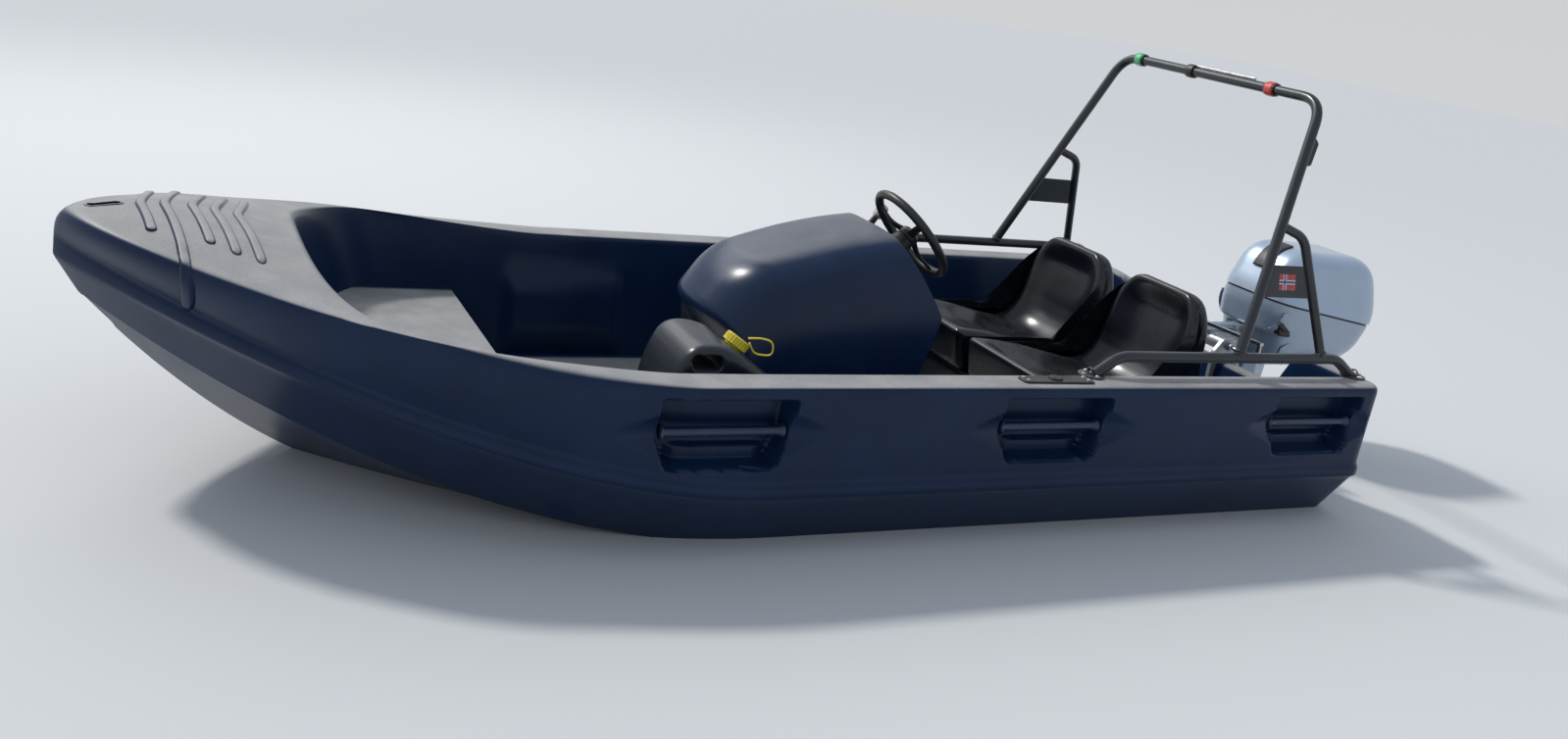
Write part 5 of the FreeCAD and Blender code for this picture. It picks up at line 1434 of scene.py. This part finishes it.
def build_dust_and_sheen():
    """A pale mask, more where the surface faces up: its normal's Z eased from Low to 1, patchy by a blotchy noise.
    Dust on most finishes; on the hull and the console mostly a painted sheen for the sky's reflection on their tops.

    None of it lies in what is both lower than Floor and further out than Flank, as the side recesses are."""
    group, source, sink = new_group("dust", (("Amount", 0.3), ("Patchy", 1.0), ("Low", 0.84), ("Floor", -1.0),
                                             ("Flank", 9.0)), ("Mask",))
    geometry = add_node(group, "ShaderNodeNewGeometry")
    facing_up = add_node(group, "ShaderNodeSeparateXYZ", None, Vector=geometry.outputs["Normal"]).outputs["Z"]
    up = eased(group, facing_up, source.outputs["Low"], 1.0)
    place = object_place(group)
    parts = add_node(group, "ShaderNodeSeparateXYZ", None, Vector=place).outputs
    high = eased(group, parts["Z"], source.outputs["Floor"], plus(group, source.outputs["Floor"], 0.04))
    outwards = maths(group, "ABSOLUTE", parts["Y"], 0.0)
    outer = eased(group, outwards, source.outputs["Flank"], plus(group, source.outputs["Flank"], 0.03))
    above = maths(group, "MAXIMUM", high, maths(group, "SUBTRACT", 1.0, outer))
    blotch = eased(group, noise(group, place, 9.0, 6.0, 0.62), 0.30, 0.72)
    specks = eased(group, noise(group, place, 160.0, 2.0), 0.45, 0.62)
    mixed = plus(group, times(group, blotch, 0.75), times(group, specks, 0.25))
    lost = times(group, maths(group, "SUBTRACT", 1.0, mixed), source.outputs["Patchy"])
    kept = times(group, maths(group, "SUBTRACT", 1.0, lost), source.outputs["Amount"])
    group.links.new(times(group, times(group, up, above), kept), sink.inputs["Mask"])
    return group


def build_wear():
    """Convex edges by the mesh's pointiness, broken up by a noise."""
    group, source, sink = new_group("edge wear", (("Amount", 0.5), ("Level", 0.53)), ("Mask",))
    point = add_node(group, "ShaderNodeNewGeometry").outputs["Pointiness"]
    edge = eased(group, point, source.outputs["Level"], plus(group, source.outputs["Level"], 0.06))
    broken = eased(group, noise(group, object_place(group), 30.0, 5.0), 0.38, 0.60)
    group.links.new(times(group, times(group, edge, broken), source.outputs["Amount"]), sink.inputs["Mask"])
    return group


GROUPS = {"grain": build_grain(), "scuffs": build_scuffs(), "dust": build_dust_and_sheen(), "wear": build_wear()}


def use_group(tree, name, **values):
    node = tree.nodes.new("ShaderNodeGroup")
    node.node_tree = GROUPS[name]
    for label, value in values.items():
        node.inputs[label].default_value = value
    return node.outputs


def blended(tree, mask, low, high):
    """A colour mixed from low to high by a mask; either may be a socket."""
    node = tree.nodes.new("ShaderNodeMix")
    node.data_type = "RGBA"
    tree.links.new(mask, node.inputs[0])
    for index, value in ((6, low), (7, high)):
        if isinstance(value, bpy.types.NodeSocket):
            tree.links.new(value, node.inputs[index])
        else:
            node.inputs[index].default_value = (*value, 1)
    return node.outputs[2]


# %% [markdown]
# One recipe covers the plastics and paints, with numbers for each: two base shades that the slow cloud mixes, a
# roughness with its spread, the grain's size and depth, how much scuffing and edge wear there is, and how much pale
# colour lies on upward faces: dust on most finishes, a painted sheen for the sky's reflection on the hull's and
# console's tops.

# %% Plastics and paints
def surface(name, dark, light, rough, spread=0.06, pebble=420.0, cloud=3.0, bump=0.00004, scuff=0.4, dust=0.2, wear=0.3,
            worn=(0.2, 0.2, 0.21), dust_and_sheen_colour=(0.42, 0.41, 0.38), metallic=0.0, coat=0.0, coat_rough=0.1, size=1.0,
            orange_peel=0.0, gloss=0.5, patchy=1.0, low=0.84, floor_z=-1.0, flank=9.0):
    """A plastic or paint. The base colour goes from dark to light with the slow cloud, then to worn at scratches and
    edges, and to a pale colour on upward faces. Dust on most finishes; on the hull and the console mostly a painted
    sheen for the sky's reflection on their tops. Roughness is rough + 2 * spread * (cloud - 0.5), and more in rubbed
    patches and under the pale mask. bump is the grain's height in metres; orange_peel adds a long soft ripple to it."""
    material, tree, shader = new_material(name)
    grain = use_group(tree, "grain", Pebble=pebble, Cloud=cloud)
    scuffs = use_group(tree, "scuffs", Amount=scuff, Size=size)
    # A pale mask on upward faces: dust on most finishes, a painted sheen on the hull's and console's tops.
    dust_and_sheen_mask = use_group(tree, "dust", Amount=dust, Patchy=patchy, Low=low, Floor=floor_z, Flank=flank)["Mask"]
    edges = use_group(tree, "wear", Amount=wear)["Mask"]
    colour = blended(tree, eased(tree, grain["Shade"], 0.30, 0.70), dark, light)
    colour = blended(tree, scuffs["Scratch"], colour, worn)
    colour = blended(tree, edges, colour, worn)
    colour = blended(tree, dust_and_sheen_mask, colour, dust_and_sheen_colour)
    tree.links.new(colour, shader.inputs["Base Color"])
    level = plus(tree, times(tree, maths(tree, "SUBTRACT", grain["Shade"], 0.5), 2 * spread), rough)
    level = plus(tree, level, times(tree, scuffs["Rub"], 0.12))
    level = plus(tree, level, times(tree, dust_and_sheen_mask, 0.35), True)
    tree.links.new(level, shader.inputs["Roughness"])
    height = maths(tree, "SUBTRACT", grain["Height"], times(tree, scuffs["Scratch"], 0.8))
    if orange_peel:
        height = plus(tree, height, times(tree, noise(tree, object_place(tree), 130.0, 1.0), orange_peel))
    relief = add_node(tree, "ShaderNodeBump", None, Strength=1.0, Distance=bump, Height=height)
    tree.links.new(relief.outputs[0], shader.inputs["Normal"])
    shader.inputs["Metallic"].default_value = metallic
    shader.inputs["Coat Weight"].default_value = coat
    shader.inputs["Coat Roughness"].default_value = coat_rough
    shader.inputs["Specular IOR Level"].default_value = gloss
    return material


FINISHES = {
    # dark, light, rough, spread, pebble, cloud, bump, scuff, dust and painted sheen, wear, worn, dust and sheen colour
    # Painted sheen: the hull's pale colour on upward faces mostly stands in for the sky's reflection on the gunwale
    # tops and foredeck, fading over the rounded edges, with some dust in it; floor_z and flank keep it out of the side
    # recesses.
    "hull_plastic": surface("hull_plastic", (0.0040, 0.0150, 0.0460), (0.0056, 0.0200, 0.0600), 0.29, 0.03, 300.0, 5.0,
                            0.00003, 0.30, 0.78, 0.20, (0.05, 0.08, 0.14), (0.44, 0.43, 0.41), gloss=0.22, patchy=0.30,
                            low=0.62, floor_z=0.33, flank=0.52),
    "seat_plastic": surface("seat_plastic", (0.0035, 0.0050, 0.0085), (0.0050, 0.0075, 0.0130), 0.25, 0.06, 420.0, 4.0,
                            0.00004, 0.4, 0.10, 0.3, (0.09, 0.10, 0.12)),
    "tank_plastic": surface("tank_plastic", (0.006, 0.009, 0.016), (0.009, 0.013, 0.022), 0.33, 0.06, 500.0, 5.0,
                            0.00005, 0.5, 0.14, 0.4, (0.12, 0.13, 0.14)),
    "tube_paint": surface("tube_paint", (0.010, 0.013, 0.018), (0.016, 0.020, 0.026), 0.32, 0.05, 900.0, 9.0, 0.00003,
                          0.5, 0.16, 0.35, (0.16, 0.17, 0.18), coat=0.15, coat_rough=0.2, size=2.0),
    "fitting_black": surface("fitting_black", (0.010, 0.010, 0.011), (0.018, 0.018, 0.019), 0.46, 0.07, 700.0, 12.0,
                             0.00004, 0.4, 0.15, 0.4, (0.10, 0.10, 0.10), size=2.0),
    "panel_black": surface("panel_black", (0.012, 0.012, 0.013), (0.018, 0.018, 0.020), 0.52, 0.05, 600.0, 8.0, 0.00006,
                           0.3, 0.12, 0.3, (0.10, 0.10, 0.10), size=2.0),
    "wheel_black": surface("wheel_black", (0.010, 0.010, 0.012), (0.016, 0.016, 0.018), 0.42, 0.08, 380.0, 10.0,
                           0.00010, 0.3, 0.10, 0.2, (0.07, 0.07, 0.07), size=2.0),
    "yellow_plastic": surface("yellow_plastic", (0.60, 0.46, 0.012), (0.74, 0.60, 0.030), 0.36, 0.06, 500.0, 20.0,
                              0.00004, 0.5, 0.12, 0.5, (0.75, 0.66, 0.20), (0.35, 0.31, 0.20), size=3.0),
    "cowl_silver": surface("cowl_silver", (0.34, 0.43, 0.56), (0.40, 0.49, 0.61), 0.34, 0.04, 1400.0, 3.0, 0.000012,
                           0.22, 0.10, 0.2, (0.45, 0.48, 0.52), metallic=0.45, coat=0.7, coat_rough=0.08,
                           orange_peel=0.5),
    "leg_silver": surface("leg_silver", (0.28, 0.35, 0.45), (0.34, 0.42, 0.52), 0.36, 0.05, 1400.0, 3.5, 0.000014, 0.35,
                          0.12, 0.3, (0.42, 0.45, 0.48), metallic=0.45, coat=0.6, coat_rough=0.12, orange_peel=0.5),
    "bracket_grey": surface("bracket_grey", (0.30, 0.33, 0.36), (0.38, 0.41, 0.44), 0.40, 0.07, 900.0, 9.0, 0.00005,
                            0.6, 0.15, 0.4, (0.55, 0.56, 0.57), metallic=0.55, coat=0.2, size=2.0),
    "blade_black": surface("blade_black", (0.020, 0.020, 0.022), (0.032, 0.032, 0.035), 0.38, 0.06, 900.0, 8.0, 0.00003,
                           0.6, 0.08, 0.7, (0.35, 0.35, 0.36), coat=0.2, size=2.0),
    "engine_block": surface("engine_block", (0.10, 0.10, 0.11), (0.16, 0.16, 0.17), 0.60, 0.08, 300.0, 8.0, 0.0002, 0.2,
                            0.10, 0.3, (0.30, 0.30, 0.30), metallic=0.7, size=2.0),
}

# %% [markdown]
# Bright steel is brushed: long thin streaks change its roughness and its height. The lamps are clear coloured plastic
# over a bright reflector, with fine ribs.

# %% Steel and lamps
def brushed_steel(name):
    """Bright steel: the roughness is 0.16 + 0.25 * streaks, and the streaks stand a hundredth of a millimetre high."""
    material, tree, shader = new_material(name)
    streaks = noise(tree, stretched(tree, object_place(tree), (900, 40, 900)), 1.0, 3.0)
    stain = noise(tree, object_place(tree), 25.0, 5.0)
    tree.links.new(blended(tree, eased(tree, stain, 0.35, 0.70), (0.60, 0.60, 0.61), (0.40, 0.39, 0.37)),
                   shader.inputs["Base Color"])
    level = plus(tree, times(tree, streaks, 0.25), 0.16)
    tree.links.new(level, shader.inputs["Roughness"])
    relief = add_node(tree, "ShaderNodeBump", None, Strength=1.0, Distance=0.00001, Height=streaks)
    tree.links.new(relief.outputs[0], shader.inputs["Normal"])
    shader.inputs["Metallic"].default_value = 1.0
    return material


def lamp_lens(name, deep, bright):
    """A coloured lens: cells mix the deep and the bright shade under a clear coat."""
    material, tree, shader = new_material(name)
    cells = add_node(tree, "ShaderNodeTexVoronoi", None, Vector=object_place(tree), Scale=260.0).outputs["Distance"]
    mask = plus(tree, times(tree, cells, 0.9), 0.2, True)
    tree.links.new(blended(tree, mask, deep, bright), shader.inputs["Base Color"])
    relief = add_node(tree, "ShaderNodeBump", None, Strength=1.0, Distance=0.0002, Height=cells)
    tree.links.new(relief.outputs[0], shader.inputs["Normal"])
    shader.inputs["Roughness"].default_value = 0.16
    shader.inputs["Coat Weight"].default_value = 0.8
    shader.inputs["Coat Roughness"].default_value = 0.05
    return material


OWN_FINISHES = {
    # the start of a piece's name, and the finish that it gets in place of its slot's
    # Painted sheen: the console's pale colour on its top mostly stands in for the sky's reflection, with some dust in
    # it.
    "console_shell": surface("console_plastic", (0.0045, 0.0160, 0.0480), (0.0060, 0.0210, 0.0620), 0.27, 0.03, 300.0,
                             5.0, 0.00003, 0.30, 0.32, 0.20, (0.05, 0.08, 0.14), (0.44, 0.42, 0.39), gloss=0.30,
                             patchy=0.35, low=0.86),
    "hand_bar": surface("bar_paint", (0.0060, 0.0180, 0.0540), (0.0080, 0.0230, 0.0680), 0.24, 0.04, 700.0, 9.0,
                        0.00002, 0.30, 0.0, 0.25, (0.10, 0.12, 0.16), coat=0.15, coat_rough=0.15, size=2.0)}
FINISHES["steel_bright"] = brushed_steel("steel_bright")
FINISHES["lamp_red"] = lamp_lens("lamp_red", (0.22, 0.006, 0.004), (0.75, 0.03, 0.015))
FINISHES["lamp_green"] = lamp_lens("lamp_green", (0.004, 0.12, 0.04), (0.02, 0.55, 0.18))

# %% [markdown]
# The sticker on the port gusset is a common cross flag. Its bands are steps of two distances measured in the plate's
# own plane: a red ground, a white cross and a dark blue one inside it.

# %% Sticker
def flag_finish():
    """Masks of the cross: |along - 10 mm| and |up| under 6.2 mm give white, and under 3.1 mm give blue."""
    material, tree, shader = new_material("flag_sticker")
    middle = put((-0.1725, 0.2235, 0), flag_place, *flag_axes)
    offset = add_node(tree, "ShaderNodeVectorMath", {"operation": "SUBTRACT"}, i0=object_place(tree),
                      i1=tuple(middle)).outputs[0]
    distances = []
    for axis, shift in ((flag_axes[0], -0.010), (flag_axes[1], 0.0)):
        dot = add_node(tree, "ShaderNodeVectorMath", {"operation": "DOT_PRODUCT"}, i0=offset,
                       i1=tuple(axis)).outputs["Value"]
        distances.append(maths(tree, "ABSOLUTE", plus(tree, dot, shift)))
    nearest = maths(tree, "MINIMUM", *distances)
    white = maths(tree, "LESS_THAN", nearest, 0.0062)
    blue = maths(tree, "LESS_THAN", nearest, 0.0031)
    fade = eased(tree, noise(tree, object_place(tree), 60.0, 4.0), 0.35, 0.75)
    colour = blended(tree, white, (0.40, 0.02, 0.02), (0.62, 0.62, 0.62))
    colour = blended(tree, blue, colour, (0.015, 0.03, 0.14))
    faded = blended(tree, times(tree, fade, 0.25), colour, (0.35, 0.33, 0.33))
    tree.links.new(faded, shader.inputs["Base Color"])
    tree.links.new(plus(tree, times(tree, fade, 0.2), 0.3), shader.inputs["Roughness"])
    return material


flag.data.materials.append(flag_finish())

# %% [markdown]
# New pieces take the finish of their slot, but the console and the side bars have navy finishes of their own, fitted
# to how those places look. The nodes that stay from the mechanical model already carry a slot's material each, so the
# finish goes into that slot.

# %% Finishes on pieces
for slot_name, pieces in pieces_of.items():
    for piece in pieces:
        own = next((finish for start, finish in OWN_FINISHES.items() if piece.name.startswith(start)), None)
        piece.data.materials.clear()
        piece.data.materials.append(own or FINISHES[slot_name])
carried = 0
for name, node in nodes.items():
    for material_slot in node.material_slots:
        slot_name = next((slot for slot in FINISHES if material_slot.material and slot in material_slot.material.name),
                         None)
        if slot_name is not None:
            material_slot.material = FINISHES[slot_name]
            carried += 1
print(len(FINISHES), "finishes,", carried, "slots of carried nodes")

# %% [markdown]
# Light comes from a soft pale sky, a broad sun high over the starboard bow, and a large soft panel high on the
# starboard side, across the boat from the camera. The floor is plain and pale and lies at the waterline.

# %% Light and floor
SKY_LOW, SKY_HIGH, SKY_STRENGTH = (0.90, 0.92, 0.94), (0.66, 0.74, 0.86), 0.70
SUN_POWER, SUN_ANGLE, SUN_COLOUR, SUN_FROM = 2.2, 0.10, (1.0, 0.97, 0.92), (0.45, -0.62, 0.80)
PANEL_POWER, PANEL_SIZE, PANEL_PLACE, PANEL_FROM = 110.0, (6.0, 3.0), (1.5, -5.0, 4.6), (1.5, -5.0, 4.4)
FLOOR_HALF, FLOOR_COLOUR, FLOOR_ROUGH = 30, (0.60, 0.61, 0.62, 1), 0.85
world = bpy.data.worlds.new("soft sky")
bpy.context.scene.world = world
world.use_nodes = True
sky = world.node_tree
background = sky.nodes["Background"]
up = add_node(sky, "ShaderNodeSeparateXYZ", None,
              Vector=add_node(sky, "ShaderNodeTexCoord").outputs["Generated"]).outputs["Z"]
sky_colour = blended(sky, eased(sky, up, -0.1, 0.7), SKY_LOW, SKY_HIGH)
sky.links.new(sky_colour, background.inputs["Color"])
background.inputs["Strength"].default_value = SKY_STRENGTH
sun = bpy.data.lights.new("sun", "SUN")
sun.energy, sun.angle, sun.color = SUN_POWER, SUN_ANGLE, SUN_COLOUR
sun_object = bpy.data.objects.new("sun", sun)
sun_object.rotation_euler = Vector(SUN_FROM).to_track_quat("Z", "Y").to_euler()
bpy.context.scene.collection.objects.link(sun_object)
panel = bpy.data.lights.new("soft panel", "AREA")
panel.shape, panel.size, panel.size_y, panel.energy = "RECTANGLE", *PANEL_SIZE, PANEL_POWER
panel_object = bpy.data.objects.new("soft panel", panel)
panel_object.location = PANEL_PLACE
panel_object.rotation_euler = Vector(PANEL_FROM).to_track_quat("Z", "Y").to_euler()
bpy.context.scene.collection.objects.link(panel_object)
floor = add_mesh("floor", [[x * FLOOR_HALF, y * FLOOR_HALF, 0] for x, y in ((-1, -1), (1, -1), (1, 1), (-1, 1))],
                 [[0, 1, 2, 3]], False)
floor_finish, _, floor_shader = new_material("pale_floor")
floor_shader.inputs["Base Color"].default_value = FLOOR_COLOUR
floor_shader.inputs["Roughness"].default_value = FLOOR_ROUGH
floor.data.materials.append(floor_finish)
bpy.context.scene.view_settings.view_transform = "Standard"
